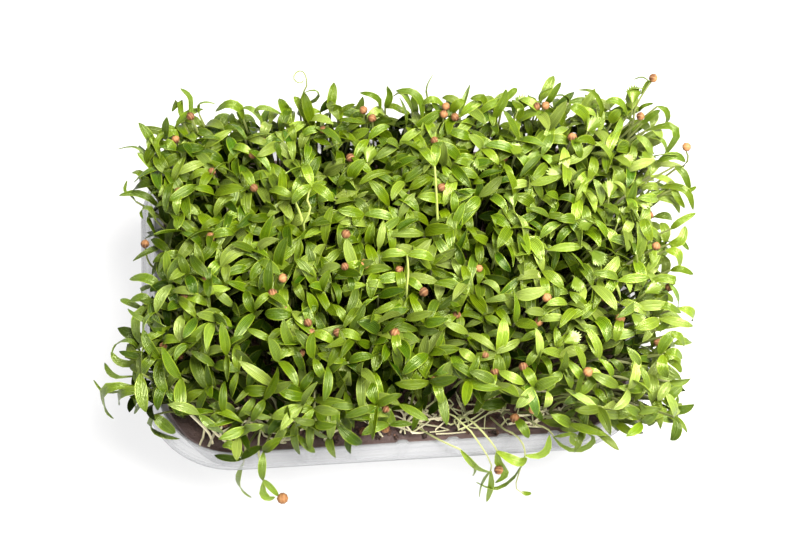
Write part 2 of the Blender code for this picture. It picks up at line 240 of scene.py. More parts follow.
def grain_group():
    """A bumped normal from fine noise."""
    tree, inner, outer = new_group(
        "fine_grain",
        [("Vector", "NodeSocketVector", None), ("Scale", "NodeSocketFloat", 1500.0),
         ("Strength", "NodeSocketFloat", 0.2), ("Depth", "NodeSocketFloat", 0.0002)],
        [("Normal", "NodeSocketVector"), ("Height", "NodeSocketFloat")])
    cloud = add_node(tree, "ShaderNodeTexNoise", {"Vector": inner.outputs["Vector"],
                                                  "Scale": inner.outputs["Scale"], "Detail": 6.0})
    bump = add_node(tree, "ShaderNodeBump", {"Strength": inner.outputs["Strength"],
                                             "Distance": inner.outputs["Depth"],
                                             "Height": cloud.outputs["Fac"]})
    fill_inputs(tree, outer, {"Normal": bump.outputs["Normal"], "Height": cloud.outputs["Fac"]})
    return tree


MOTTLE = mottle_group()
VEINS = vein_group()
GRAIN = grain_group()


def place_group(tree, group, inputs):
    return add_node(tree, "ShaderNodeGroup", inputs, node_tree=group)


def mottle(tree, place, scale, amount, first, second):
    """The node that lays patches of the second colour over the first."""
    return place_group(tree, MOTTLE, {"Vector": place, "Scale": scale, "Amount": amount, "First": first,
                                      "Second": second})


def new_material(name):
    material = bpy.data.materials.new(name)
    material.use_nodes = True
    tree = material.node_tree
    return material, tree, tree.nodes["Principled BSDF"]


def object_coordinates(tree):
    return add_node(tree, "ShaderNodeTexCoord").outputs["Object"]


def part_coordinates(tree):
    """Across, along and side of the blade or stem, and the part's hue, value and paleness."""
    run = add_node(tree, "ShaderNodeAttribute", attribute_name="run")
    tint = add_node(tree, "ShaderNodeAttribute", attribute_name="tint")
    split_run = add_node(tree, "ShaderNodeSeparateXYZ", {0: run.outputs["Vector"]})
    split_tint = add_node(tree, "ShaderNodeSeparateXYZ", {0: tint.outputs["Vector"]})
    return [*split_run.outputs, *split_tint.outputs]


def set_base_colour(tree, shader, colour, value):
    """The base colour, made darker or lighter by the part's value."""
    light = add_node(tree, "ShaderNodeCombineXYZ", {0: value, 1: value, 2: value})
    shaded = mix_colours(tree, 1.0, colour, light.outputs[0], "MULTIPLY")
    fill_inputs(tree, shader, {"Base Color": shaded})


def set_grain(tree, shader, place, scale, strength, roughness, swing, depth=0.0002):
    """A grainy surface, rougher where the grain is high."""
    inputs = {"Vector": place, "Scale": scale, "Strength": strength, "Depth": depth}
    grain = place_group(tree, GRAIN, inputs)
    rough = scaled_sum(tree, grain.outputs["Height"], swing, roughness)
    fill_inputs(tree, shader, {"Normal": grain.outputs["Normal"], "Roughness": rough})


def leaf_material():
    material, tree, shader = new_material("seed_leaf")
    across, along, side, hue, value, pale = part_coordinates(tree)
    place = object_coordinates(tree)
    green = mix_colours(tree, hue, (0.017, 0.056, 0.001, 1), (0.076, 0.130, 0.001, 1))
    fresh = mix_colours(tree, hue, (0.040, 0.092, 0.001, 1), (0.138, 0.194, 0.003, 1))
    veins = place_group(tree, VEINS, {"Across": across, "Count": 4.0, "Sharpness": 4.0})
    line, midrib = veins.outputs["Line"], veins.outputs["Midrib"]
    mottled = mottle(tree, place, 420.0, 0.40, green, fresh).outputs["Colour"]
    lined = mix_colours(tree, math_node(tree, "MULTIPLY", line, 0.40), mottled, fresh)
    ribbed = mix_colours(tree, math_node(tree, "MULTIPLY", midrib, 0.35), lined, fresh)
    based = mix_colours(tree, ramp(tree, along, 0.0, 0.4, 0.7, 0.0), ribbed, fresh)
    margin = ramp(tree, math_node(tree, "ABSOLUTE", across), 0.78, 0.94, 0.0, 0.7)
    edged = mix_colours(tree, margin, based, (0.20, 0.27, 0.010, 1))
    under = math_node(tree, "MULTIPLY", side, 0.5)
    sided = mix_colours(tree, under, edged, (0.080, 0.130, 0.003, 1))
    # The pale colour is partly the leaf's own tone and partly a painted sheen; the value brings the painted
    # light and shade of leaf_tint.
    paled = mix_colours(tree, pale, sided, (0.26, 0.31, 0.07, 1))
    set_base_colour(tree, shader, paled, value)
    facing = add_node(tree, "ShaderNodeLayerWeight", {"Blend": 0.5}).outputs["Facing"]
    across_view = math_node(tree, "SUBTRACT", 1.05, facing)
    shine = math_node(tree, "POWER", math_node(tree, "MINIMUM", value, 1.05), 1.7)
    gloss = math_node(tree, "MULTIPLY", shine, across_view)
    height = scaled_sum(tree, line, 0.7, math_node(tree, "MULTIPLY", midrib, -1.0))
    grain = place_group(tree, GRAIN, {"Vector": place, "Scale": 1100.0, "Strength": 0.6, "Depth": 0.0002})
    bump = add_node(tree, "ShaderNodeBump", {"Strength": 0.8, "Distance": 0.0003, "Height": height,
                                             "Normal": grain.outputs["Normal"]})
    rough = scaled_sum(tree, line, 0.08, 0.24)
    fill_inputs(tree, shader, {"Normal": bump.outputs["Normal"], "Roughness": rough,
                               "Specular IOR Level": gloss, "Specular Tint": (0.90, 1.0, 0.54, 1)})
    return material


def stem_material():
    material, tree, shader = new_material("stem")
    _, along, _, _, value, pale = part_coordinates(tree)
    place = object_coordinates(tree)
    lower = mix_colours(tree, ramp(tree, along, 0.05, 0.95), (0.17, 0.20, 0.05, 1), (0.12, 0.18, 0.006, 1))
    mottled = mottle(tree, place, 420.0, 0.3, lower, (0.15, 0.20, 0.03, 1)).outputs["Colour"]
    paled = mix_colours(tree, pale, mottled, (0.62, 0.56, 0.40, 1))
    # The value brings painted shade to stems deep in the stand and painted light to those that hang in
    # shade.
    set_base_colour(tree, shader, paled, value)
    set_grain(tree, shader, place, 2200.0, 0.12, 0.32, 0.2)
    fill_inputs(tree, shader, {"Specular IOR Level": 0.15, "Specular Tint": (0.93, 1.0, 0.60, 1)})
    return material


def husk_material():
    material, tree, shader = new_material("seed_husk")
    around, _, height, hue, value, _ = part_coordinates(tree)
    place = object_coordinates(tree)
    # The darker end of the husk is partly its own colour and partly a painted shade.
    dark_end_and_shade = math_node(tree, "MAXIMUM", hue, ramp(tree, height, 0.2, -0.5))
    shell = mix_colours(tree, dark_end_and_shade, (0.33, 0.155, 0.062, 1), (0.050, 0.018, 0.010, 1))
    mottled = mottle(tree, place, 900.0, 0.55, shell, (0.16, 0.068, 0.024, 1)).outputs["Colour"]
    wave = math_node(tree, "SINE", math_node(tree, "MULTIPLY", around, 5.0))
    rib = math_node(tree, "POWER", math_node(tree, "ABSOLUTE", wave), 8.0)
    ribbed = mix_colours(tree, math_node(tree, "MULTIPLY", rib, 0.45), mottled, (0.36, 0.20, 0.085, 1))
    set_base_colour(tree, shader, ribbed, value)
    set_grain(tree, shader, place, 2600.0, 0.5, 0.45, 0.25)
    fill_inputs(tree, shader, {"Specular IOR Level": 0.15})
    return material


def medium_material():
    """Dark moist crumb with reddish grains, with a painted light: paler along the edge of its top, where
    the seedlings shade it less.
    """
    material, tree, shader = new_material("growing_medium")
    place = object_coordinates(tree)
    base = mottle(tree, place, 240.0, 0.85, (0.010, 0.005, 0.004, 1), (0.060, 0.024, 0.016, 1))
    fine = mottle(tree, place, 1100.0, 0.4, base.outputs["Colour"], (0.13, 0.060, 0.042, 1))
    cells = add_node(tree, "ShaderNodeTexVoronoi", {"Vector": place, "Scale": 520.0})
    speck = ramp(tree, cells.outputs["Distance"], 0.12, 0.22, 0.3, 0.0)
    specked = mix_colours(tree, speck, fine.outputs["Colour"], (0.30, 0.16, 0.12, 1))
    # Painted light: a band along the edge of the top is painted paler, where less shade falls than in the
    # middle.
    mirrored = add_node(tree, "ShaderNodeVectorMath", {0: place}, operation="ABSOLUTE")
    beyond = add_node(tree, "ShaderNodeVectorMath", {0: mirrored.outputs[0], 1: (0.062, 0.036, 1.0)},
                      operation="SUBTRACT")
    outward = add_node(tree, "ShaderNodeVectorMath", {0: beyond.outputs[0], 1: (0, 0, 0)},
                       operation="MAXIMUM")
    reach = add_node(tree, "ShaderNodeVectorMath", {0: outward.outputs[0]}, operation="LENGTH")
    painted_edge_light = ramp(tree, reach.outputs["Value"], 0.0165, 0.0205, 0.0, 0.55)
    height = add_node(tree, "ShaderNodeSeparateXYZ", {0: place}).outputs[2]
    painted_edge_light_share = math_node(tree, "MULTIPLY", painted_edge_light, ramp(tree, height, 0.0275, 0.030))
    painted_edge_lit = mix_colours(tree, painted_edge_light_share, specked, (0.17, 0.12, 0.115, 1))
    fill_inputs(tree, shader, {"Base Color": painted_edge_lit})
    set_grain(tree, shader, place, 900.0, 0.9, 0.62, 0.3, depth=0.0006)
    return material


def crumb_material():
    material, tree, shader = new_material("medium_crumb")
    _, _, _, hue, value, _ = part_coordinates(tree)
    place = object_coordinates(tree)
    first = mix_colours(tree, hue, (0.010, 0.006, 0.005, 1), (0.26, 0.13, 0.09, 1))
    mottled = mottle(tree, place, 700.0, 0.6, first, (0.07, 0.035, 0.022, 1))
    set_base_colour(tree, shader, mottled.outputs["Colour"], value)
    set_grain(tree, shader, place, 1800.0, 0.8, 0.6, 0.3, depth=0.0004)
    return material


def sheet_material():
    """Thin clear sheet: see-through face on and whiter where it is seen along its surface."""
    material, tree, shader = new_material("clear_sheet")
    place = object_coordinates(tree)
    facing = add_node(tree, "ShaderNodeLayerWeight", {"Blend": 0.45}).outputs["Facing"]
    haze = mottle(tree, place, 60.0, 0.10, (0.37, 0.375, 0.39, 1), (0.33, 0.335, 0.35, 1))
    height = add_node(tree, "ShaderNodeSeparateXYZ", {0: place}).outputs[2]
    flange = ramp(tree, height, 0.034, 0.038)
    least = ramp(tree, flange, 0.0, 1.0, 0.04, 0.23)
    start = ramp(tree, flange, 0.0, 1.0, 0.22, 0.0)
    fill_inputs(tree, shader, {"Base Color": haze.outputs["Colour"], "IOR": 1.57,
                               "Alpha": ramp(tree, facing, start, 0.9, least, 0.92),
                               "Specular IOR Level": ramp(tree, flange, 0.0, 1.0, 0.5, 0.15),
                               "Roughness": math_node(tree, "ADD", haze.outputs["Mask"], 0.32)})
    return material


# ---------------------------------------------------------------- outline of the tray

def outline_stations(corner_steps, flute_counts, fill=0):
    """Stations around a rounded rectangle, counter-clockwise: (quarter, place, flute share, in corner).

    The fill is how many stations come before, between and after the flutes.
    """
    stations = []
    gap = FLUTE_PITCH - 2 * FLUTE_HALF_WIDTH
    for quarter in range(4):
        count = flute_counts[quarter % 2]
        for number in range(count):
            middle = (number - (count - 1) / 2) * FLUTE_PITCH
            for step in range(fill):
                back = FLUTE_HALF_WIDTH + gap * (1 - (step + 1) / (fill + 1))
                stations.append((quarter, middle - back, 0.0, False))
            for step in range(FLUTE_STEPS + 1):
                swing = step / FLUTE_STEPS * 2 - 1
                share = smooth(1.0, 0.4, abs(swing))
                stations.append((quarter, middle + swing * FLUTE_HALF_WIDTH, share, False))
        stations += [(quarter, step / corner_steps, 0.0, True) for step in range(corner_steps + 1)]
    return stations


def outline_point(station, inset, height, flute=0.0):
    """The station's point on the rounded rectangle drawn inset from the tray's outer edge."""
    quarter, place, share, in_corner = station
    half_x = (TRAY_HIGH.x - TRAY_LOW.x) / 2 / MM - inset
    half_y = (TRAY_HIGH.y - TRAY_LOW.y) / 2 / MM - inset
    if quarter % 2:
        half_x, half_y = half_y, half_x
    radius = max(CORNER_RADIUS - inset, 3)
    if in_corner:
        swing = math.radians(90) * (place - 1)
        local = Vector((half_x - radius + math.cos(swing) * radius,
                        radius - half_y + math.sin(swing) * radius, height))
    else:
        reach = half_x - radius
        local = Vector((max(-reach, min(reach, place)), share * flute - half_y, height))
    return Matrix.Rotation(math.radians(90) * quarter, 3, "Z") @ local * MM


def rounded_section(points, fillet, steps):
    """The section with each inner corner replaced by a short arc."""
    rounded = [points[0]]
    for before, corner, after in zip(points, points[1:], points[2:]):
        before, corner, after = Vector(before), Vector(corner), Vector(after)
        cut_in = min(fillet, (before - corner).length * 0.45)
        cut_out = min(fillet, (after - corner).length * 0.45)
        start = corner + (before - corner).normalized() * cut_in
        end = corner + (after - corner).normalized() * cut_out
        rounded += [tuple(bezier((start, corner, end), step / steps)) for step in range(steps + 1)]
    return rounded + [points[-1]]


def extrude_rings(bm, count, rings):
    """A skin through rings of equally many points. A ring is a function from point number to place."""
    bmesh.ops.create_circle(bm, segments=count, radius=1.0)
    bm.verts.ensure_lookup_table()
    station = bm.verts.layers.int.new("station")
    for number, vert in enumerate(bm.verts):
        vert[station] = number
        vert.co = rings[0](number)
    edges = bm.edges[:]
    first = edges
    for ring in rings[1:]:
        made = bmesh.ops.extrude_edge_only(bm, edges=edges)["geom"]
        for vert in made:
            if isinstance(vert, bmesh.types.BMVert):
                vert.co = ring(vert[station])
        edges = [edge for edge in made if isinstance(edge, bmesh.types.BMEdge)
                 and all(vert in made for vert in edge.verts)]
    return first, edges


def new_mesh(name, bm):
    mesh = bpy.data.meshes.new(name)
    bm.to_mesh(mesh)
    bm.free()
    return mesh


def new_object(name, data):
    obj = bpy.data.objects.new(name, data)
    bpy.context.scene.collection.objects.link(obj)
    return obj


def finish_mesh(name, bm, material):
    """Turns a bmesh into an object of the scene with its place in its mesh."""
    for face in bm.faces:
        face.smooth = True
    mesh = new_mesh(name, bm)
    mesh.materials.append(material)
    return new_object(name, mesh)


def make_tray_shell():
    """The tray's clear shell, with its flutes, stepped flange and skirt."""
    stations = outline_stations(CORNER_STEPS, FLUTES)
    section = [(*point, 0.0) for point in BASE_SECTION]
    section += [(inset, height, FLUTE_DEPTH) for inset, height in WALL_SECTION]
    section += [(*point, 0.0) for point in FLANGE_SECTION]
    section = rounded_section(section, FILLET, FILLET_STEPS)
    bm = bmesh.new()
    rings = [lambda number, level=level: outline_point(stations[number], *level) for level in section]
    first, _ = extrude_rings(bm, len(stations), rings)
    bmesh.ops.contextual_create(bm, geom=first)
    bmesh.ops.recalc_face_normals(bm, faces=bm.faces[:])
    shell = finish_mesh("tray_shell", bm, sheet_material())
    sheet = shell.modifiers.new("sheet", "SOLIDIFY")
    sheet.thickness = SHEET * MM
    sheet.offset = 1.0
    sheet.use_even_offset = True
    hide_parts("tray")
    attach(shell, "root")


# ---------------------------------------------------------------- growing medium

def lump(place, size, depth):
    """How far a lumpy surface rises at this place, in millimetres."""
    return (noise.noise(place / MM / size) + 0.5 * noise.noise(place / MM / size * 2.3)) * depth


def make_medium():
    """The block of growing medium: rounded at its edge and lumpy all over its top."""
    stations = outline_stations(CORNER_STEPS, FLUTES, MEDIUM_FILL)
    bm = bmesh.new()

    def side_ring(level):
        def place(number):
            point = outline_point(stations[number], *level)
            away = Vector((point.x, point.y, 0)).normalized()
            return point + away * min(0.0, lump(point, 5, 0.5) - 0.25) * MM
        return place

    def top_ring(inset):
        def place(number):
            point = outline_point(stations[number], inset, MEDIUM_TOP, FLUTE_DEPTH * smooth(16, 8, inset))
            return point + Vector((0, 0, lump(point, 3.2, 1.4) + lump(point, 11, 0.9) - 0.8)) * MM
        return place

    rings = [side_ring(level) for level in MEDIUM_SECTION] + [top_ring(inset) for inset in MEDIUM_RINGS]
    first, last = extrude_rings(bm, len(stations), rings)
    bmesh.ops.contextual_create(bm, geom=first)
    bmesh.ops.contextual_create(bm, geom=last)
    bmesh.ops.recalc_face_normals(bm, faces=bm.faces[:])
    medium = finish_mesh("medium_block", bm, medium_material())
    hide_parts("growing_medium")
    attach(medium, "root")


# ---------------------------------------------------------------- repeated shapes

def keep_template(bm, name, material_index):
    for face in bm.faces:
        face.smooth = True
        face.material_index = material_index
    for edge in bm.edges:
        if len(edge.link_faces) == 2 and edge.calc_face_angle(0.0) > math.radians(50):
            edge.smooth = False
    return new_mesh(name, bm)


def blade_template():
    """A flat blade: x across from -1 to 1, y along from 0 to 1, z 0 on its face and 1 on its back."""
    bm = bmesh.new()
    bmesh.ops.create_grid(bm, x_segments=BLADE_COLUMNS, y_segments=BLADE_ROWS, size=0.5)
    bmesh.ops.solidify(bm, geom=bm.faces[:], thickness=0.25)
    for vert in bm.verts:
        along = 1 - (0.5 - vert.co.y) ** 1.35
        vert.co = (vert.co.x * 2, along, 1.0 if abs(vert.co.z) > 0.1 else 0.0)
    bmesh.ops.recalc_face_normals(bm, faces=bm.faces[:])
    for edge in bm.edges:
        edge.smooth = max(abs(vert.co.x) for vert in edge.verts) > 0.01
    return keep_template(bm, "blade_template", 0)


def fan_template():
    """A true leaf before it is spread: x is a quarter of its share of the fan, y its way out."""
    bm = bmesh.new()
    bmesh.ops.create_grid(bm, x_segments=16, y_segments=2, size=0.5)
    bmesh.ops.solidify(bm, geom=bm.faces[:], thickness=0.25)
    for vert in bm.verts:
        vert.co = (vert.co.x * 0.25, 0.12 + 0.88 * (vert.co.y + 0.5), 1.0 if abs(vert.co.z) > 0.1 else 0.0)
    bmesh.ops.recalc_face_normals(bm, faces=bm.faces[:])
    return keep_template(bm, "fan_template", 0)


def tube_template(name, sides, cuts, material_index):
    """A closed tube of radius 1 around z, from 0 to 1."""
    bm = bmesh.new()
    bmesh.ops.create_cone(bm, cap_ends=True, segments=sides, radius1=1.0, radius2=1.0, depth=1.0)
    upright = [edge for edge in bm.edges if abs(edge.verts[0].co.z - edge.verts[1].co.z) > 0.5]
    bmesh.ops.subdivide_edges(bm, edges=upright, cuts=cuts, use_grid_fill=True)
    bmesh.ops.translate(bm, verts=bm.verts[:], vec=(0, 0, 0.5))
    bmesh.ops.recalc_face_normals(bm, faces=bm.faces[:])
    return keep_template(bm, name, material_index)


def husk_template():
    """A round husk of radius 1 with ribs from pole to pole and a small peak."""
    bm = bmesh.new()
    bmesh.ops.create_uvsphere(bm, u_segments=20, v_segments=9, radius=1.0)
    for vert in bm.verts:
        angle = math.atan2(vert.co.y, vert.co.x)
        level = math.hypot(vert.co.x, vert.co.y)
        vert.co.xy *= 1.0 + 0.05 * math.cos(10 * angle) * level
        vert.co.z *= 0.96 + 0.16 * smooth(0.4, 0.0, level)
    return keep_template(bm, "husk_template", 2)


def crumb_template():
    bm = bmesh.new()
    bmesh.ops.create_icosphere(bm, subdivisions=1, radius=1.0)
    for vert in bm.verts:
        vert.co *= 1.0 + 0.35 * noise.noise(vert.co * 2.0)
    return keep_template(bm, "crumb_template", 0)


BLADE = blade_template()
FAN = fan_template()
STEM = tube_template("stem_template", STEM_SIDES, STEM_CUTS, 1)
HUSK = husk_template()
CRUMB = crumb_template()


def gather(name, shapes, materials):
    """One object out of many shapes. A shape is (template, places of its points, tint)."""
    bm = bmesh.new()
    for template, _, _ in shapes:
        bm.from_mesh(template)
    mesh = new_mesh(name, bm)
    places = [place for _, points, _ in shapes for place in points]
    runs = [vert.co for template, _, _ in shapes for vert in template.vertices]
    tints = [tint for template, _, tint in shapes for _ in template.vertices]
    mesh.vertices.foreach_set("co", [value for place in places for value in place])
    for label, values in (("run", runs), ("tint", tints)):
        layer = mesh.attributes.new(label, "FLOAT_VECTOR", "POINT")
        layer.data.foreach_set("vector", [value for triple in values for value in triple])
    mesh.update()
    for material in materials:
        mesh.materials.append(material)
    obj = new_object(name, mesh)
    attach(obj, "root")
    return obj


def tube_points(template, route, radius, taper, curve):
    """Where a tube's points go when it follows the route."""
    frames = {}
    points = []
    for vert in template.vertices:
        share = round(vert.co.z, 3)
        if share not in frames:
            along = tangent(curve, route, share)
            side = along.cross(Vector((0.31, 0.17, 0.93))).normalized()
            frames[share] = curve(route, share), side, along.cross(side), radius * (1 - taper * share)
        centre, side, other, wide = frames[share]
        points.append((centre + (side * vert.co.x + other * vert.co.y) * wide) * MM)
    return points


def blade_width(share):
    """How wide a seed leaf is along its length, as a share of its widest."""
    place = share * (len(BLADE_PROFILE) - 1)
    number = min(int(place), len(BLADE_PROFILE) - 2)
    return BLADE_PROFILE[number] + (BLADE_PROFILE[number + 1] - BLADE_PROFILE[number]) * (place - number)


def blade_points(route, left, width, fold, roll, twist, curve=bezier):
    """Where a blade's points go: its midline follows the route, and it folds, rolls and twists."""
    frames = {}
    for share in sorted({round(vert.co.y, 3) for vert in BLADE.vertices}):
        along = tangent(curve, route, share)
        left = (left - along * left.dot(along)).normalized()
        turn = Matrix.Rotation(math.radians(roll + twist * share), 3, along)
        rise = math.tan(math.radians(fold) * (1 - 0.5 * share))
        half = width / 2 * blade_width(share)
        frames[share] = curve(route, share), turn @ left, turn @ along.cross(left), half, rise
    points = []
    for vert in BLADE.vertices:
        centre, side, normal, half, rise = frames[round(vert.co.y, 3)]
        across = vert.co.x
        height = half * rise * abs(across) - vert.co.z * BLADE_THICKNESS * (1 - 0.6 * abs(across))
        points.append((centre + side * across * half + normal * height) * MM)
    return points


def fan_points(base, forward, up, size):
    """Where a true leaf's points go: a toothed fan with three shallow lobes, slightly cupped."""
    left = up.cross(forward)
    points = []
    for vert in FAN.vertices:
        swing = vert.co.x * 4 * math.radians(62)
        tooth = 1.0 if round(vert.co.x * 64) % 2 == 0 else 0.84
        lobe = 0.90 + 0.10 * math.cos(6 * swing)
        reach = size * vert.co.y * (lobe * tooth if vert.co.y > 0.8 else 0.9)
        flat = forward * math.cos(swing) + left * math.sin(swing)
        cup = size * (0.25 * vert.co.y - 0.3 * vert.co.y ** 2 + 5 * vert.co.x ** 2)
        height = cup - vert.co.z * BLADE_THICKNESS
        points.append((base + flat * reach + up * height) * MM)
    return points


# ---------------------------------------------------------------- seedlings

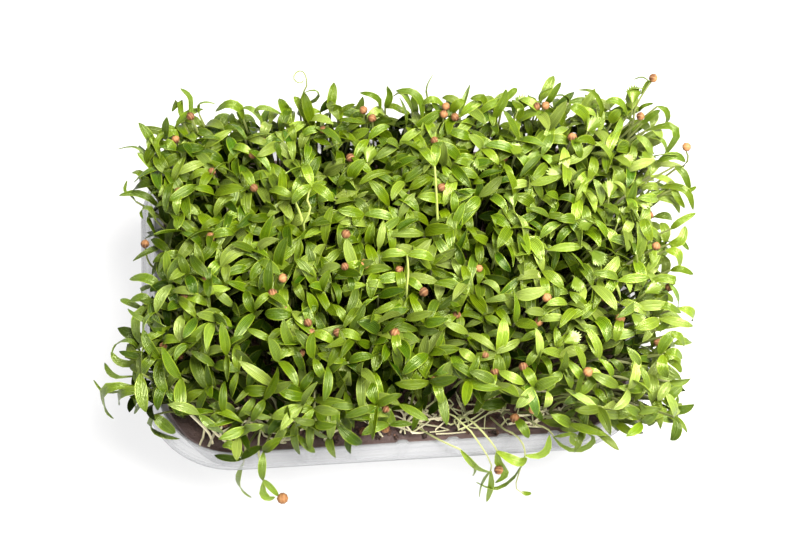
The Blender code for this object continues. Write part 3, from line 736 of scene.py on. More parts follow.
# The seedlings at the edges: name of the CAD node, leaves as (width, roll, points), stems as (radius,
# points) and husks. A seedling without a stem in its row gets one for each crown.
EDGE_SEEDLINGS = [
    ("front_i",
     [(3.6, 20, [(-37, -58, 58), (-38, -61, 58), (-38, -65, 54), (-37, -67, 49)]),
      (3.6, 10, [(-37, -58, 58), (-33, -60, 59), (-29, -61, 56)])], [], []),
    ("front_j",
     [(3.6, 20, [(-22, -56, 60), (-20, -59, 60), (-19, -63, 56)]),
      (3.4, 0, [(-22, -56, 60), (-26, -59, 60), (-29, -61, 55)])], [], []),
    ("front_k",
     [(3.6, 10, [(-8, -54, 62), (-5, -58, 61), (-3, -61, 57)]),
      (3.4, 0, [(-8, -54, 62), (-12, -57, 62), (-15, -59, 58)])], [], []),
    ("left_a",
     [(3.0, 55, [(-91, -30, 59), (-93, -27, 63), (-96, -26, 65), (-100, -26, 62), (-102, -29, 60)]),
      (3.0, -50, [(-91, -30, 58), (-96, -32, 58), (-100, -31, 59), (-102, -28, 60)]),
      (2.8, 50, [(-92, -37, 58), (-97, -38, 60), (-100, -38, 60), (-103, -35, 58), (-105, -30, 55)]),
      (3.8, 15, [(-80, -22, 66), (-84, -26, 70), (-88, -28, 70), (-92, -30, 66)])], [], []),
    ("left_b",
     [(4.0, -20, [(-94, -41, 58), (-100, -41, 60), (-105, -41, 56), (-106, -43, 50), (-106, -44, 44),
                  (-104, -46, 40)]),
      (2.2, 55, [(-94, -41, 57), (-101, -41, 53), (-106, -40, 52), (-108, -38, 53), (-109, -36, 54)]),
      (4.0, 10, [(-84, -32, 66), (-87, -36, 70), (-90, -39, 68), (-93, -41, 62)])], [], []),
    ("left_c",
     [(4.2, 20, [(-88, -50, 52), (-90, -52, 46), (-86, -54, 42), (-80, -56, 42)]),
      (4.2, 0, [(-88, -50, 52), (-85, -53, 51), (-81, -55, 46)]),
      (4.2, 0, [(-89, -43, 59), (-97, -43, 59), (-100, -43, 54), (-101, -43, 46)]),
      (4.4, 0, [(-88, -43, 60), (-91, -44, 60), (-94, -45, 56), (-95, -46, 48)]),
      (2.6, 10, [(-89, -44, 56), (-93, -45, 50), (-96, -46, 44)])], [], []),
    ("left_d",
     [(3.8, 15, [(-75, 2, 68), (-77, 3, 72), (-81, 2, 72), (-84, -2, 68)])],
     [(0.5, [(-81, 12, 31), (-86, 11, 40), (-89, 12, 44), (-90, 13, 50), (-90, 15, 53)])], []),
    ("left_e",
     [(3.4, 30, [(-85, 31, 64), (-87, 34, 67), (-90, 38, 69), (-93, 39, 68)]),
      (3.0, 10, [(-84, 27, 62), (-87, 29, 66), (-92, 31, 67), (-98, 31, 66)]),
      (1.6, 40, [(-92, 29, 64), (-94, 31, 66), (-96, 33, 66), (-95, 37, 66)]),
      (3.0, 30, [(-85, 21, 64), (-87, 25, 66), (-90, 25, 65), (-90, 23, 62)]),
      (3.2, 10, [(-84, 23, 62), (-88, 24, 62), (-87, 22, 58), (-86, 20, 54)])], [], []),
    ("left_f",
     [(1.8, 50, [(-83, 38, 70), (-85, 41, 73), (-89, 44, 76), (-92, 45, 77), (-97, 45, 76)]),
      (2.6, 20, [(-84, 37, 70), (-87, 40, 74), (-90, 43, 76)]),
      (2.8, 40, [(-81, 39, 74), (-83, 44, 78), (-85, 47, 80), (-86, 43, 78)]),
      (2.6, 40, [(-81, 39, 74), (-83, 45, 79), (-79, 49, 80)]),
      (3.4, 20, [(-77, 41, 76), (-77, 43, 79), (-79, 44, 80), (-80, 42, 77)])], [], []),
    ("left_g",
     [(3.8, 10, [(-84, -7, 62), (-86, -4, 65), (-90, -2, 65), (-95, -1, 62)]),
      (3.2, 30, [(-85, -3, 60), (-91, -5, 60), (-88, -8, 56)]),
      (2.8, 20, [(-90, -11, 56), (-96, -8, 57), (-99, -6, 56)]),
      (3.6, 0, [(-87, -12, 60), (-90, -9, 63), (-95, -9, 61)]),
      (4.0, 20, [(-88, -10, 60), (-92, -15, 62), (-93, -20, 60), (-92, -24, 56)]),
      (3.8, 20, [(-85, -12, 66), (-87, -18, 68), (-85, -22, 66), (-83, -23, 62)])], [], []),
    ("back_a",
     [(2.8, 50, [(-70, 55, 78), (-70, 58, 80), (-70, 61, 83), (-73, 63, 86)]),
      (3.0, 35, [(-73, 54, 76), (-74, 58, 78), (-74, 60, 82), (-77, 58, 78)]),
      (2.0, 50, [(-67, 56, 78), (-67, 58, 82), (-64, 58, 84), (-61, 58, 82)]),
      (2.6, 30, [(-75, 47, 76), (-76, 49, 79), (-79, 48, 79), (-80, 47, 77)])], [],
     [(-70, 54, 81), (-76, 47, 77)]),
    ("back_b",
     [(3.6, 25, [(-51, 53, 78), (-52, 55, 83), (-56, 56, 85), (-61, 56, 80)]),
      (3.2, 30, [(-44, 51, 78), (-46, 53, 82), (-49, 55, 83), (-52, 55, 82)]),
      (3.0, 30, [(-36, 53, 79), (-41, 54, 83), (-45, 54, 84), (-47, 53, 82)])], [], []),
    ("back_c",
     [(1.8, 50, [(-29, 58, 80), (-26, 55, 84), (-23, 55, 88), (-23, 56, 90), (-25, 56, 92), (-28, 56, 90)]),
      (3.4, 10, [(-28, 49, 76), (-28, 52, 80), (-30, 55, 84), (-32, 57, 86)]),
      (1.8, 50, [(-33, 55, 78), (-34, 55, 81), (-35, 56, 84)])],
     [(0.45, [(-29, 50, 31), (-30, 54, 66), (-30, 56, 80), (-29, 57, 86), (-27, 59, 90)]),
      (0.30, [(-27, 59, 90), (-27, 61, 92), (-28, 63, 93), (-29.5, 63.5, 93)]),
      (0.28, [(-29.5, 63.5, 93), (-31, 62.5, 93), (-31.5, 60.5, 93), (-30.5, 59, 93), (-29, 58.5, 93),
              (-28, 59.5, 93)])], []),
    ("back_d",
     [(2.2, 40, [(-1, 53, 78), (-1, 55, 83), (-4, 56, 86), (-8, 57, 86)]),
      (2.8, 55, [(1, 54, 79), (2, 54, 82), (3, 56, 85), (2, 58, 88)]),
      (2.4, 30, [(1, 54, 79), (4, 53, 82), (7, 51, 82), (10, 51, 79)]),
      (3.0, 25, [(11, 52, 78), (9, 54, 84), (7, 56, 86), (4, 56, 84)]),
      (3.2, 30, [(14, 49, 78), (14, 53, 83), (11, 56, 86), (5, 57, 86)]),
      (2.8, 30, [(-11, 49, 76), (-12, 51, 79), (-10, 52, 82), (-8, 52, 82)]),
      (3.6, 10, [(-16, 49, 76), (-16, 53, 80), (-17, 53, 84), (-19, 53, 84)]),
      (1.8, 20, [(-16, 53, 80), (-13, 53, 83), (-10, 53, 85)])], [], [(-7, 52, 82), (-4, 49, 81)]),
    ("back_e",
     [(1.8, 40, [(17, 54, 80), (16, 56, 86), (17, 58, 89), (19, 60, 91)]),
      (3.0, 15, [(23, 52, 80), (20, 53, 84), (17, 53, 85), (14, 53, 82)]),
      (2.4, 20, [(22, 52, 79), (19, 52, 82), (16, 51, 81)]),
      (3.4, 20, [(25, 50, 79), (27, 51, 84), (30, 52, 85)])], [],
     [(23, 51, 83), (22, 48, 83), (26, 47, 82)]),
    ("back_f",
     [(2.8, 20, [(38, 49, 76), (37, 53, 83), (35, 53, 85), (32, 53, 84)]),
      (3.0, 20, [(34, 49, 78), (38, 50, 83), (41, 51, 84), (44, 52, 84)]),
      (3.4, 30, [(40, 47, 76), (42, 49, 82), (44, 51, 85), (45, 54, 88)]),
      (2.6, 30, [(44, 51, 84), (47, 53, 87), (49, 54, 88)]),
      (3.2, 20, [(49, 47, 76), (50, 49, 82), (47, 51, 85)])], [], []),
    ("back_g",
     [(1.4, 40, [(59, 51, 80), (57, 52, 83), (58, 53, 86), (62, 54, 87)]),
      (2.6, 45, [(59, 51, 80), (61, 51, 84), (63, 53, 87), (65, 55, 89)]),
      (3.6, 10, [(61, 45, 76), (62, 47, 81), (59, 48, 84), (57, 49, 83)]),
      (3.0, 30, [(65, 44, 76), (65, 46, 81), (63, 48, 84)]),
      (4.2, 15, [(75, 41, 76), (73, 45, 82), (70, 46, 85), (68, 47, 85)])], [],
     [(56, 49, 83), (59, 48, 85)]),
    ("back_h",
     [(1.8, 40, [(77, 44, 74), (80, 47, 79), (79, 50, 83), (76, 52, 87), (71, 52, 88)]),
      (3.2, 25, [(89, 45, 79), (87, 47, 84), (84, 48, 86), (81, 48, 85)]),
      (3.8, 20, [(83, 43, 78), (84, 44, 82), (86, 45, 84)])], [], []),
    ("right_a",
     [(2.2, 50, [(94, 50, 86), (96, 52, 90), (97, 52, 92)]),
      (1.0, 40, [(97, 52, 91), (94, 53, 93), (91, 53, 92)]),
      (1.4, 40, [(93, 45, 82), (94, 45, 86), (98, 46, 86)]),
      (3.0, 10, [(91, 47, 80), (89, 50, 84), (91, 52, 87), (95, 51, 88)])],
     [(0.45, [(80, 34, 31), (88, 39, 60), (91, 43, 76), (92, 47, 82), (95, 50, 88), (97, 52, 91)])],
     [(93, 42, 84)]),
    ("right_b",
     [(2.4, 40, [(94, 41, 80), (97, 42, 84), (100, 43, 86)]),
      (2.4, 30, [(99, 44, 87), (102, 43, 86), (103, 41, 83), (102, 40, 80)]),
      (3.0, 30, [(95, 38, 80), (100, 37, 85), (104, 36, 86), (105, 33, 84), (103, 31, 80), (101, 29, 76)]),
      (2.6, 40, [(102, 29, 76), (101, 31, 81), (99, 33, 83), (96, 34, 82)])], [], []),
    ("right_c",
     [(3.0, 20, [(98, 26, 78), (101, 26, 82), (105, 26, 82), (108, 25, 79)])],
     [(0.5, [(81, 10, 31), (92, 20, 58), (104, 25, 72), (108, 25, 76), (109, 26, 80), (108, 27, 83)])], []),
    ("right_d",
     [(2.8, 40, [(98, 16, 78), (103, 14, 82), (107, 11, 82), (109, 7, 76)]),
      (1.8, 20, [(103, 14, 81), (107, 12, 82), (110, 13, 83)]),
      (2.8, 40, [(102, 17, 80), (103, 12, 80), (106, 8, 76)]),
      (2.8, 40, [(103, 21, 84), (106, 18, 84), (108, 13, 80)])], [], []),
    ("right_e",
     [(2.6, 30, [(100, 0, 76), (103, 1, 80), (109, 4, 80)]),
      (3.6, 20, [(99, -5, 74), (103, -5, 77), (105, 0, 78)]),
      (1.8, 30, [(104, -2, 70), (105, -3, 70), (107, -5, 68)]),
      (3.6, 10, [(97, -9, 78), (101, -11, 79), (102, -14, 74)]),
      (2.8, 0, [(98, -16, 76), (101, -17, 79), (106, -18, 76)]),
      (4.0, 0, [(92, -6, 80), (90, -2, 83), (90, 2, 82)])], [], [(93, -9, 82)]),
    ("right_f",
     [(3.2, 20, [(90, -20, 76), (94, -20, 79), (99, -21, 78), (97, -22, 76)]),
      (3.2, 0, [(91, -29, 76), (95, -31, 79), (100, -32, 75)]),
      (2.8, 20, [(91, -37, 72), (94, -36, 75), (96, -34, 78)]),
      (3.8, 0, [(91, -46, 72), (93, -43, 77), (97, -40, 78)]),
      (3.2, 0, [(95, -41, 78), (98, -42, 77), (100, -44, 73)])], [], [(97, -22, 75)]),
    ("right_g",
     [(4.0, 0, [(92, -47, 74), (91, -52, 75), (93, -54, 70)]),
      (3.2, 0, [(93, -46, 74), (96, -47, 76), (99, -48, 72)]),
      (2.8, 20, [(94, -48, 70), (97, -49, 69), (99, -51, 66)]),
      (4.0, 0, [(93, -59, 60), (95, -58, 63), (99, -55, 64)]),
      (1.8, 20, [(92, -59, 60), (95, -60, 60), (96, -62, 56)]),
      (4.2, 0, [(91, -58, 60), (89, -63, 60), (87, -66, 54)]),
      (3.8, 0, [(79, -62, 60), (82, -64, 58), (84, -65, 54)])], [], [(76, -62, 66), (72, -64, 62)]),
]
# The seedlings that hang over the front rim: name of the CAD node, stems as (points, radius), leaves as
# (points, width, roll).
HANGING_SEEDLINGS = [
    ("front_a",
     [([(4.5, -52, 31), (12, -61.5, 42), (20.6, -67.2, 44)], 0.4)],
     [([(20.4, -67.1, 44), (23.3, -69.8, 41), (26.6, -71.7, 36), (31.8, -72.3, 31)], 2.8, 50),
      ([(25.1, -71.6, 38), (25.6, -71.8, 34), (25.0, -72.4, 29)], 1.5, 30)]),
    ("front_b",
     [([(14, -50, 31), (15.7, -53.9, 50), (23.4, -62.2, 52), (27.6, -67.2, 47), (31.2, -70.4, 38),
         (31.5, -71.2, 31)], 0.36)],
     [([(31.5, -71.3, 31), (29.1, -72.8, 24), (28.0, -74.2, 19), (27.4, -75.8, 14)], 2.6, 40),
      ([(31.5, -71.3, 31), (32.0, -72.8, 25), (31.7, -74.2, 18), (30.4, -76.3, 9)], 2.6, 60)]),
    ("front_c",
     [([(20, -51, 31), (22.5, -55.2, 46), (27, -61.1, 50), (31.7, -66, 46), (33.6, -67.4, 41)], 0.42)],
     [([(33.4, -67.3, 41), (38.1, -69.2, 38), (42, -70.8, 37), (44.2, -70.4, 40)], 3.6, 35),
      ([(33.6, -67.4, 41), (34.3, -69.3, 34), (36.9, -71.4, 26), (33.5, -72.7, 20)], 3.2, 20)]),
    ("front_d",
     [([(33, -51, 31), (36.2, -60.9, 46), (40.1, -64.9, 50), (43, -67.5, 45), (43.6, -69.4, 40)], 0.4),
      ([(43.6, -69.4, 40), (42.3, -71.1, 31), (41.1, -73.8, 17), (44.1, -75.4, 14)], 0.28)],
     [([(43.4, -69.3, 40), (48.2, -69.7, 40), (51.4, -68.9, 44), (52.1, -65.7, 50)], 2.9, 55),
      ([(43.6, -69.5, 40), (42.3, -71.3, 31), (39.1, -73.3, 23), (34.4, -74.2, 18), (30.5, -74, 19),
        (26.5, -72.5, 22)], 1.9, 60),
      ([(43.2, -75, 14.3), (45, -75.6, 14), (46.9, -75.7, 14.5)], 1.7, 10)]),
    ("front_e",
     [([(45, -51, 31), (47.6, -59.8, 46), (51.6, -62.9, 49), (53.9, -65, 46)], 0.4)],
     [([(53.7, -64.9, 46), (57.3, -67.4, 42), (61.9, -68.5, 40), (66.2, -68.3, 43), (68.2, -66.8, 47),
        (64.7, -65.2, 50)], 2.4, 60),
      ([(53.9, -65, 46), (56.3, -66.2, 50), (59.5, -66.4, 52), (62.2, -66.7, 50)], 1.4, 50)]),
    ("front_f",
     [([(58, -51, 31), (58.5, -60.5, 48), (60, -65.3, 47)], 0.36)],
     [([(60, -65.2, 47), (63.5, -66.9, 46.5), (64.5, -65.2, 50), (61.5, -64.2, 52)], 1.8, 50),
      ([(60, -65.2, 47), (60.8, -66.6, 44), (64, -67.6, 41)], 2.2, 20)]),
    ("front_g",
     [([(-45, -51, 31), (-49.8, -58.0, 52), (-51.4, -60.5, 47), (-51.9, -64, 38),
        (-51.5, -67.7, 25)], 0.45)],
     [([(-51.5, -67.5, 25), (-49.2, -68.9, 20), (-46.4, -71.2, 15.6)], 2.4, 25),
      ([(-51.3, -67.9, 25), (-52.2, -70, 18), (-50.4, -71.3, 14.5), (-47.8, -71.3, 15)], 3.0, -45)]),
    ("front_h",
     [([(-56, -50, 31), (-55.6, -58.6, 48), (-56.5, -62.8, 44), (-57.8, -64.8, 35)], 0.42)],
     [([(-57.8, -64.6, 36), (-60.2, -67.3, 27), (-59.9, -68.9, 20), (-56.7, -70.6, 14)], 3.8, 25),
      ([(-57.2, -63.9, 40), (-61, -61, 46), (-64.5, -60.5, 45)], 3.6, 10)]),
]
# The husks that the CAD model has on its edge seedlings: place and radius.
HUSK_PLACES = {
    "front_a": (34.3, -71.3, 31, 1.7), "front_c": (46, -60, 62, 1.6), "front_g": (-45, -72, 15, 2.1),
    "left_d": (-90, 16, 55, 1.6), "right_a": (98, 53, 92, 1.6), "right_c": (108, 28, 85, 1.6),
}
DROPPED_HUSKS = [(-14, -54.2), (-77, -37.5), (77, -34)]
HUSK_RADIUS = 1.6
# Ovals at the front where the medium lies open: middle, then half its length and half its width.
OPEN_PATCHES = [(18, -52, 24, 6), (-67, -55, 14, 8)]
# Husks that sit among the leaves at the top of the stand, each on its own stem.
HUSKS_ON_TOP = [
    (2, -11, 79), (-10, -8, 79), (-31, -29, 79), (-48, 38, 79), (-48, 24, 80), (-63, 32, 79),
    (73, -26, 79), (43, -48, 73), (30, -43, 74), (10, -20, 79), (-43, -17, 79), (-66, -9, 77),
    (-74, -15, 76), (-21, -33, 78), (-1, -34, 77), (-39, -23, 78), (-64, 6, 79), (-75, 25, 78),
    (18, 39, 80), (21, 21, 79), (-22, 46, 80), (68, 37, 80), (21, -29, 78), (12, -50, 70),
    (-30, -32, 77), (53, -25, 79), (78, -34, 78), (33, -49, 72), (40, -60, 54), (-6, -59, 48),
    (-33, -54, 57), (-63, -54, 50),
]
# Taller seedlings: the stem's points, then where the leaves at its top point.
TALL_SEEDLINGS = [
    ([(-31, 5, 31), (-31, 7, 80), (-28, 11, 85), (-29, 15, 87), (-27, 19, 89)], (95, -40, 230)),
    ([(-31, 5, 31), (-31, 7, 79), (-32, 12, 83), (-34, 17, 85)], (60, 150)),
    ([(17, -2, 31), (17, 5, 74), (17, 12, 81), (17, 18, 85), (17, 25, 87)], (80, 120)),
    ([(4, -25, 31), (4, -20, 76), (5, -14, 82), (5, -8, 85)], (-10, 175)),
]
# Toothed leaves that rise over the stand, each with the direction in which it points.
TRUE_LEAVES = [
    (82, 4, 80, 60), (79, 14, 81, 80), (86, 26, 80, 30), (75, 40, 82, 50), (-6, 34, 80, 70),
    (86, -8, 79, 100), (72, -10, 79, -60), (64, -20, 79, -80), (60, -40, 76, 20), (46, 34, 80, -30),
    (90, 10, 80, -20), (94, 28, 79, -70), (62, 22, 80, 160), (90, -24, 78, 20), (34, 30, 80, -90),
    (70, 2, 80, 200), (84, -34, 77, -50), (91, 49, 86, 80), (44, 14, 79, 100), (50, 50, 82, 60),
]


def stem_route(foot, crown, bend_height, knee_share):
    foot = Vector((*foot, MEDIUM_TOP - STEM_SUNK))
    crown = Vector(crown)
    knee = foot.lerp(crown, knee_share)
    knee.z = bend_height
    return foot, knee, crown


def turn_and_tilt(turn, tilt):
    return Matrix.Rotation(turn, 3, "Z") @ Matrix.Rotation(tilt, 3, "X")


def stem_shape(route, radius, taper, tint, curve=spline):
    return STEM, tube_points(STEM, route, radius, taper, curve), tint


def husk_points(centre, radius, rng):
    turn = turn_and_tilt(rng.uniform(0, math.tau), rng.uniform(0.3, 2.6))
    return [(Vector(centre) + turn @ vert.co * radius) * MM for vert in HUSK.vertices]


def husk_shape(centre, radius, rng):
    return HUSK, husk_points(centre, radius, rng), (rng.random(), rng.uniform(0.8, 1.15), 0.0)


def leaf_tint(rng, place, depth=0.0):
    """Hue, value and paleness of one leaf or stem: painted shade, darker and greener the deeper below the
    stand's top but less at the front and right edges, and painted light, brighter towards the right and
    back and paler towards the right.
    """
    at_edge = max(smooth(-42, -60, place[1]), smooth(76, 95, place[0]))
    shade = smooth(0, 15, depth * (1 - 0.7 * at_edge))
    hue = max(0.0, min(1.0, rng.gauss(0.58 - 0.45 * shade, 0.26)))
    pale = rng.random() ** 4 * 0.5 + 0.22 * smooth(20, 85, place[0]) * rng.random()
    painted_light = 0.75 + 0.22 * smooth(10, 85, place[0]) + 0.08 * smooth(10, 60, place[1])
    return hue, max(0.5, rng.gauss(1.0, 0.24)) * painted_light * (1 - 0.80 * shade), pale * (1 - shade)


def place_seedling(name, shapes, materials):
    """A seedling as a piece of its own in place of its CAD node."""
    seedling = gather(f"seedling_{name}", shapes, materials)
    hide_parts(f"sprout_{name}")


def blade_on(route, width, roll, rng, painted_light=1.0, pale=0.05):
    """A leaf that follows the points of its route; a painted light makes it brighter where one is given,
    for leaves that hang in shade.
    """
    start = Vector(route[1]) - Vector(route[0])
    left = Vector((-start.y, start.x, 0)).normalized()
    points = blade_points(route, left, width, rng.uniform(12, 26), roll, rng.uniform(-12, 12), spline)
    return BLADE, points, (rng.uniform(0.45, 0.95), painted_light * rng.uniform(0.8, 1.15), pale)


def stem_below(crown, rng):
    """The points of a stem that rises from the medium to this crown."""
    crown = Vector(crown)
    foot_x = max(-STAND_HALF_X, min(STAND_HALF_X, crown.x * 0.92))
    foot_y = max(STAND_FRONT, min(STAND_BACK, crown.y * 0.88))
    foot = Vector((foot_x, foot_y, MEDIUM_TOP - STEM_SUNK))
    middle = foot.lerp(crown, rng.uniform(0.25, 0.4))
    middle.z = MEDIUM_TOP + (crown.z - MEDIUM_TOP) * 0.62
    return foot, middle, crown


def edge_seedling(row, materials, rng):
    """One of the seedlings that lean out at the edges."""
    name, leaves, stems, husks = row
    if not stems:
        crowns = {leaf[2][0] for leaf in leaves} | {(x, y, z - 1) for x, y, z in husks}
        stems = [(STEM_RADIUS * 0.9, stem_below(crown, rng)) for crown in sorted(crowns)]
    shapes = [stem_shape(route, radius, 0.3, (0.6, 0.8, 0.05)) for radius, route in stems]
    shapes += [blade_on(route, width, roll, rng) for width, roll, route in leaves]
    shapes += [husk_shape(place, HUSK_RADIUS * 0.95, rng) for place in husks]
    place_seedling(name, shapes, materials)


def hanging_seedling(row, materials, rng):
    """One of the seedlings that reach over the front rim and hang down in front of it."""
    name, stems, leaves = row
    # Painted light: these stems and leaves hang in shade in front of the rim, so they are painted brighter.
    shapes = [stem_shape(route, radius, 0.2, (0.7, 1.2, 0.2)) for route, radius in stems]
    shapes += [blade_on(route, width, roll, rng, 1.7, 0.1) for route, width, roll in leaves]
    place_seedling(name, shapes, materials)


def stand_feet(rng):
    """Where the inner seedlings stand: a staggered grid with each foot moved a little."""
    step_y = SPACING * math.sqrt(3) / 2
    feet = []
    for row in range(int(2 * STAND_HALF_Y / step_y) + 1):
        for column in range(int(2 * STAND_HALF_X / SPACING) + 1):
            x = -STAND_HALF_X + (column + 0.5 * (row % 2)) * SPACING + rng.gauss(0, 1.2)
            y = -STAND_HALF_Y + row * step_y + rng.gauss(0, 1.2)
            corner = max(0, abs(x) - STAND_CORNER_X) ** 2 + max(0, abs(y) - STAND_CORNER_Y) ** 2
            is_open = any(math.hypot((x - middle_x) / half_x, (y - middle_y) / half_y) < 1
                          for middle_x, middle_y, half_x, half_y in OPEN_PATCHES)
            inside = corner < STAND_CORNER_RADIUS ** 2 and abs(x) < 80 and STAND_FRONT < y < 54
            if inside and not is_open:
                feet.append((x, y))
    return feet


def rim_feet(rng):
    """Feet along the edge of the medium, for the seedlings that close the sides of the stand."""
    outline = [outline_point(station, RIM_INSET, 0) / MM for station in outline_stations(8, (0, 0))]
    corners = [(point.x, point.y) for point in outline]
    spread = []
    for (x0, y0), (x1, y1) in zip(corners, corners[1:] + corners[:1]):
        is_dense = x0 > 60 or y0 > 40 and x0 < -10
        spacing = RIM_SPACING * (0.6 if is_dense else 1.0)
        count = max(1, round(math.hypot(x1 - x0, y1 - y0) / spacing))
        for step in range(count):
            share = (step + rng.random()) / count
            spread.append((x0 + (x1 - x0) * share, y0 + (y1 - y0) * share))
    # The front stays open, most of all at its left.
    return [(x, y) for x, y in spread if y > (-38 if x < -30 else -50) or x > 50]


def lean(x, y):
    """How far the stand leans at this foot: out over the rim, most of all to the right."""
    left = 5 + 8 * smooth(-5, -35, y) - 6 * smooth(26, 14, y) * smooth(-18, -8, y)
    out_x = 1.0 + 16 * smooth(20, 84, x) - left * smooth(30, 82, -x)
    front = (8 + 6 * smooth(-16, -30, x) * smooth(-62, -52, x) - 4 * smooth(-56, -66, x)
             + 7 * smooth(42, 66, x) + 4 * smooth(60, 76, x))
    out_y = 0.5 * smooth(10, 56, y) - front * smooth(15, 54, -y)
    return out_x, out_y


def canopy_height(x, y):
    """Height of the leaves' top over this foot."""
    waves = 3.0 * noise.noise(Vector((x / 26, y / 26, 3.7)))
    return CANOPY_HEIGHT + waves + 1.0 * smooth(0, 50, y) - 7 * smooth(20, 54, -y) - 3 * smooth(55, 82, -x)


def arching_leaf(crown, up, heading, length, rise, droop, swerve):
    """The midline of a leaf that leaves its crown at a rise and then droops, and the way to its left."""
    points = [crown]
    side = Vector((-math.sin(heading), math.cos(heading), 0))
    for step in range(3):
        turned = heading + swerve * step / 2
        flat = Vector((math.cos(turned), math.sin(turned), 0))
        flat = (flat - up * flat.dot(up)).normalized()
        climb = rise - droop * step / 2
        points.append(points[-1] + (flat * math.cos(climb) + up * math.sin(climb)) * length / 3)
    return points, side


def seedling_shapes(foot, crown, depth, up, rng):
    """The shapes of one seedling: a stem, two seed leaves and now and then a husk on the tip of one."""
    middle_height = MEDIUM_TOP + (crown.z - MEDIUM_TOP) * rng.uniform(0.5, 0.75)
    route = stem_route(foot, crown, middle_height, rng.uniform(0.1, 0.35))
    radius = STEM_RADIUS * rng.uniform(0.8, 1.1)
    shapes = [stem_shape(route, radius, 0.25, leaf_tint(rng, crown, depth), bezier)]
    heading = rng.uniform(0, math.tau)
    size = max(0.75, min(1.2, rng.gauss(1.0, 0.10))) * (1 - 0.008 * depth)
    for number in range(2):
        turned = heading + number * (math.pi + rng.gauss(0, 0.35))
        rise = rng.gauss(0.85, 0.3) + 0.01 * depth
        path, left = arching_leaf(crown, up, turned, LEAF_LENGTH * size * rng.uniform(0.85, 1.15), rise,
                                  rng.gauss(1.45, 0.5), rng.gauss(0, 0.4))
        width = rng.uniform(*LEAF_WIDTHS) * size
        points = blade_points(path, left, width, rng.gauss(17, 7), rng.gauss(0, 16), rng.gauss(0, 28))
        shapes.append((BLADE, points, leaf_tint(rng, crown, depth)))
        if number == 0 and depth < 8 and rng.random() < HUSK_SHARE:
            centre = path[-1] + (path[-1] - path[-2]).normalized() * HUSK_RADIUS * 0.8
            shapes.append(husk_shape(centre, HUSK_RADIUS * rng.uniform(0.85, 1.1), rng))
    return shapes


def inner_seedling(foot, rng):
    """A seedling of the stand: either one that reaches its top, or one of those that stay below."""
    x, y = foot
    out_x, out_y = lean(x, y)
    depth = rng.uniform(5, 23) if rng.random() < LOW_SHARE else max(-2.5, rng.gauss(0.5, 2.6))
    crown = Vector((x + out_x + rng.gauss(0, 2.4), y + out_y + rng.gauss(0, 2.4),
                    canopy_height(x, y) - depth))
    up = Vector((out_x * 0.035 + rng.gauss(0, 0.22), out_y * 0.045 + rng.gauss(0, 0.22), 1)).normalized()
    return seedling_shapes(foot, crown, max(0, depth), up, rng)


def rim_seedling(foot, rng):
    """A seedling at the edge that leans out lower down than the rest."""
    x, y = foot
    out_x, out_y = lean(x, y)
    depth = rng.uniform(4, 26)
    share = rng.uniform(0.35, 0.95)
    away = Vector((x / 83, y / 56, 0)).normalized()
    crown = Vector((x + out_x * share + rng.gauss(0, 1.5), y + out_y * share + rng.gauss(0, 1.5),
                    canopy_height(x, y) - depth)) + away * rng.uniform(-1, 2)
    up = (away * rng.uniform(0.1, 0.5) + Vector((rng.gauss(0, 0.15), rng.gauss(0, 0.15), 1))).normalized()
    # Only about a third of the depth is passed on, so these leaves get less painted shade at the edge,
    # where light reaches.
    return seedling_shapes(foot, crown, depth * 0.35, up, rng)


def top_seedlings(rng):
    """The seedlings of the tables above that rise out of the stand, each with its place on plan."""
    made = []
    for place in HUSKS_ON_TOP:
        route = stem_below(place, rng)
        blade = blade_on([place, *bent_down(place, rng.uniform(0, 360), 10, rng)], 3.4, 10, rng)
        stem = stem_shape(route, 0.5, 0.3, leaf_tint(rng, place))
        husk = husk_shape(place, HUSK_RADIUS * rng.uniform(0.9, 1.1), rng)
        made.append((place[:2], [stem, blade, husk]))
    for route, headings in TALL_SEEDLINGS:
        shapes = [stem_shape(route, 0.5, 0.2, (0.9, 1.25, 0.0))]
        for heading in headings:
            shapes.append(blade_on([route[-1], *bent_down(route[-1], heading, 11, rng)], 3.6, 5, rng))
        made.append((route[0][:2], shapes))
    for x, y, z, heading in TRUE_LEAVES:
        turn = math.radians(heading)
        forward = Vector((math.cos(turn), math.sin(turn), 0.25)).normalized()
        base = Vector((x, y, z)) - forward * 3
        up = (Vector((rng.gauss(0, 0.15), rng.gauss(-0.1, 0.15), 1)) - forward * 0.25).normalized()
        up = (up - forward * up.dot(forward)).normalized()
        stalk = [base + forward * reach - Vector((0, 0, drop))
                 for reach, drop in ((-5, 14), (-2, 3), (1, 0))]
        fan = fan_points(base, forward, up, rng.uniform(7, 9))
        made.append(((x, y), [stem_shape(stalk, 0.35, 0.2, (0.8, 0.75, 0.0)),
                              (FAN, fan, (rng.uniform(0.3, 0.8), 0.72, 0.15))]))
    return made


def bent_down(start, heading, length, rng):
    """Points of a leaf that arches away from its start at this heading, in degrees."""
    turn = math.radians(heading + rng.gauss(0, 8))
    forward = Vector((math.cos(turn), math.sin(turn), 0))
    start = Vector(start)
    return [start + forward * length * share + Vector((0, 0, rise)) for share, rise in
            ((0.3, 1.6), (0.6, 1.4), (0.85, -1.2))]


def make_stand(materials):
    """The inner seedlings, one piece for each patch of the CAD model."""
    rng = random.Random(STAND_SEED)
    patches = {}
    stand = [(foot, inner_seedling(foot, rng)) for foot in stand_feet(rng)]
    stand += [(foot, rim_seedling(foot, rng)) for foot in rim_feet(rng)]
    stand += top_seedlings(rng)
    for (x, y), shapes in stand:
        column = int((x + PATCHES_HALF_X) / (2 * PATCHES_HALF_X) * PATCH_COLUMNS)
        column = min(PATCH_COLUMNS - 1, max(0, column))
        row = int((y + PATCHES_HALF_Y) / (2 * PATCHES_HALF_Y) * PATCH_ROWS)
        row = min(PATCH_ROWS - 1, max(0, row))
        patches.setdefault((row, column), []).extend(shapes)
    for (row, column), shapes in sorted(patches.items()):
        patch = gather(f"seedlings_{row + 1}_{column + 1}", shapes, materials)
        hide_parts(f"sprout_patch_{row + 1}_{column + 1}")


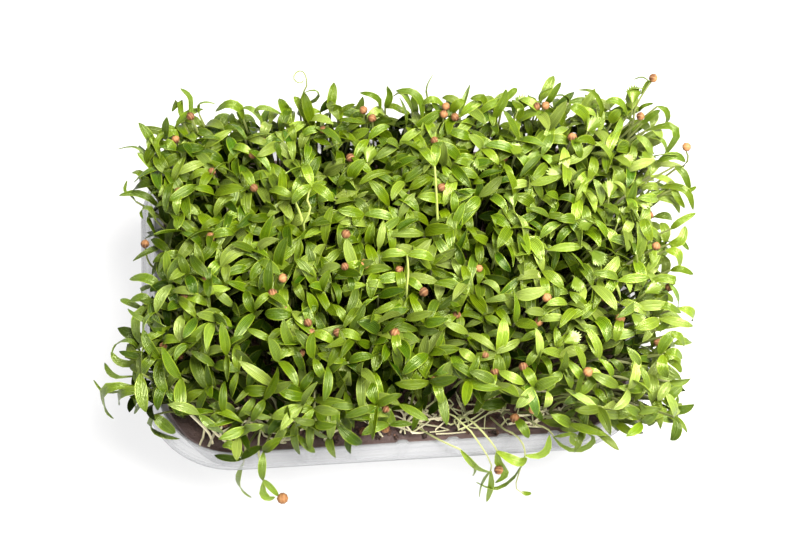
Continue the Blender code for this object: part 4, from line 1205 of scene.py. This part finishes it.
def make_husks(material):
    """The husks that the CAD model has as nodes: on the edge seedlings, and dropped onto the medium."""
    rng = random.Random(HUSK_SEED)
    places = dict(HUSK_PLACES)
    for number, (x, y) in enumerate(DROPPED_HUSKS, start=1):
        places[f"dropped_{number}"] = (x, y, MEDIUM_TOP + HUSK_RADIUS - 0.5, HUSK_RADIUS)
    for name, (*centre, radius) in places.items():
        shape = (HUSK, husk_points(centre, radius, rng), (rng.uniform(0, 0.35), 1.05, 0.0))
        husk = gather(f"husk_{name}", [shape], [material, material, material])
        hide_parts(f"seed_husk_{name}")


def make_crumbs(material):
    """Loose crumbs and fibres of the medium, mostly along the edges where they show."""
    rng = random.Random(CRUMB_SEED)
    shapes = []
    for _ in range(CRUMBS):
        angle, inset = rng.uniform(0, math.tau), CRUMB_INSET + rng.random() ** 1.5 * 14
        across, along = math.cos(angle), math.sin(angle)
        reach = min(1.0 / max(abs(across), abs(along)), 1.12)
        x, y = across * (CRUMB_HALF_X - inset) * reach, along * (CRUMB_HALF_Y - inset) * reach
        size = rng.uniform(0.4, 1.25)
        stretch = Vector((rng.uniform(0.7, 1.5), rng.uniform(0.6, 1.1), rng.uniform(0.5, 0.9))) * size
        turn = turn_and_tilt(rng.uniform(0, math.tau), rng.gauss(0, 0.4))
        centre = Vector((x, y, MEDIUM_TOP - 0.2 + 0.3 * size))
        points = [(centre + turn @ (vert.co * stretch)) * MM for vert in CRUMB.vertices]
        shapes.append((CRUMB, points, (rng.random() ** 1.6, rng.uniform(0.6, 1.3), 0.0)))
    crumbs = gather("medium_crumbs", shapes, [material])


# Where stems have fallen and roots show on the medium: centre, spread, count, length, curl, radius, lift,
# value and paleness.
ROOT_ZONES = [
    ((-64, -50), (8, 2.5), 11, 16, 1.5, 0.60, 2.0, 1.5, 0.9),
    ((-36, -52), (9, 2.0), 10, 13, 1.4, 0.55, 1.5, 1.5, 0.9),
    ((4, -51.5), (5, 2.0), 11, 12, 3.2, 0.46, 3.5, 1.15, 0.95),
    ((28, -48.5), (9, 2.5), 20, 15, 3.0, 0.34, 5.0, 1.5, 0.45),
    ((54, -52), (8, 2.0), 12, 12, 2.0, 0.45, 2.0, 1.5, 0.8),
]


def make_roots(material):
    """Stems that lie on the medium and the roots among them, at the front where the stand is open."""
    rng = random.Random(ROOT_SEED)
    shapes = []
    for (x, y), (spread_x, spread_y), count, length, curl, radius, lift, value, pale in ROOT_ZONES:
        for _ in range(count):
            heading = rng.gauss(-0.5, 0.9)
            along = Vector((math.cos(heading), math.sin(heading), 0))
            reach = length * rng.uniform(0.6, 1.3)
            middle = Vector((rng.gauss(x, spread_x), rng.gauss(y, spread_y), MEDIUM_TOP + radius * 0.6))
            route = []
            for step in range(4):
                bend = Vector((rng.gauss(0, curl), rng.gauss(0, curl), lift * rng.random()))
                point = middle + along * reach * (step / 3 - 0.5) + bend
                route.append(Vector((max(-82, min(82, point.x)), max(-56.5, point.y), point.z)))
            tint = (rng.random(), value * rng.uniform(0.75, 1.2), pale * rng.uniform(0.7, 1.0))
            shapes.append(stem_shape(route, radius * rng.uniform(0.8, 1.15), 0.35, tint))
    roots = gather("fallen_stems", shapes, [material, material])


# ---------------------------------------------------------------- stage, light and camera

# The floor is flat and rises at its far edge: radius and height in metres.
FLOOR_SIDES = 72
FLOOR_SECTION = [(2.0, 0), (2.2, 0), (2.5, 0.02), (2.7, 0.07), (2.85, 0.16), (2.95, 0.3), (3.0, 0.5),
                 (3.0, 0.9)]


def make_stage():
    bm = bmesh.new()

    def floor_ring(radius, height):
        return lambda number: Vector((radius * math.cos(number / FLOOR_SIDES * math.tau),
                                      radius * math.sin(number / FLOOR_SIDES * math.tau), height))

    first, _ = extrude_rings(bm, FLOOR_SIDES, [floor_ring(*level) for level in FLOOR_SECTION])
    bmesh.ops.contextual_create(bm, geom=first)
    material, tree, shader = new_material("pale_floor")
    fill_inputs(tree, shader, {"Base Color": (0.22, 0.22, 0.222, 1), "Roughness": 0.6,
                               "Specular IOR Level": 0.2, "Emission Color": (1, 1, 1, 1),
                               "Emission Strength": 0.71})
    floor = finish_mesh("floor", bm, material)


def new_aimed_object(name, data, place, target):
    """An object at this place that points at the target."""
    obj = new_object(name, data)
    obj.location = place
    obj.rotation_euler = (Vector(target) - Vector(place)).to_track_quat("-Z", "Y").to_euler()
    return obj


def make_lights():
    world = bpy.data.worlds.new("studio")
    world.use_nodes = True
    fill_inputs(world.node_tree, world.node_tree.nodes["Background"],
                {"Color": (1.0, 1.0, 1.0, 1), "Strength": SURROUNDING_LIGHT})
    bpy.context.scene.world = world
    for name, place, size, power, colour in LIGHTS:
        light = bpy.data.lights.new(name, "AREA")
        light.shape = "DISK"
        light.size = size
        light.energy = power
        light.color = colour
        new_aimed_object(name, light, place, LIGHTS_LOOK_AT)


def make_camera():
    camera = bpy.data.cameras.new("camera")
    camera.lens = CAMERA_LENS
    camera.sensor_width = CAMERA_SENSOR
    camera.clip_start = 0.01
    bpy.context.scene.camera = new_aimed_object("camera", camera, CAMERA_PLACE, CAMERA_LOOKS_AT)
    bpy.context.scene.view_settings.view_transform = "Standard"


def main():
    leaf, stem, husk = leaf_material(), stem_material(), husk_material()
    make_tray_shell()
    make_medium()
    make_crumbs(crumb_material())
    make_stand([leaf, stem, husk])
    rng = random.Random(EDGE_SEED)
    for row in EDGE_SEEDLINGS:
        edge_seedling(row, [leaf, stem, husk], rng)
    for row in HANGING_SEEDLINGS:
        hanging_seedling(row, [leaf, stem, husk], rng)
    make_husks(husk)
    make_roots(stem)
    for template in (BLADE, FAN, STEM, HUSK, CRUMB):
        bpy.data.meshes.remove(template)
    make_stage()
    make_lights()
    make_camera()


main()
bpy.context.view_layer.update()
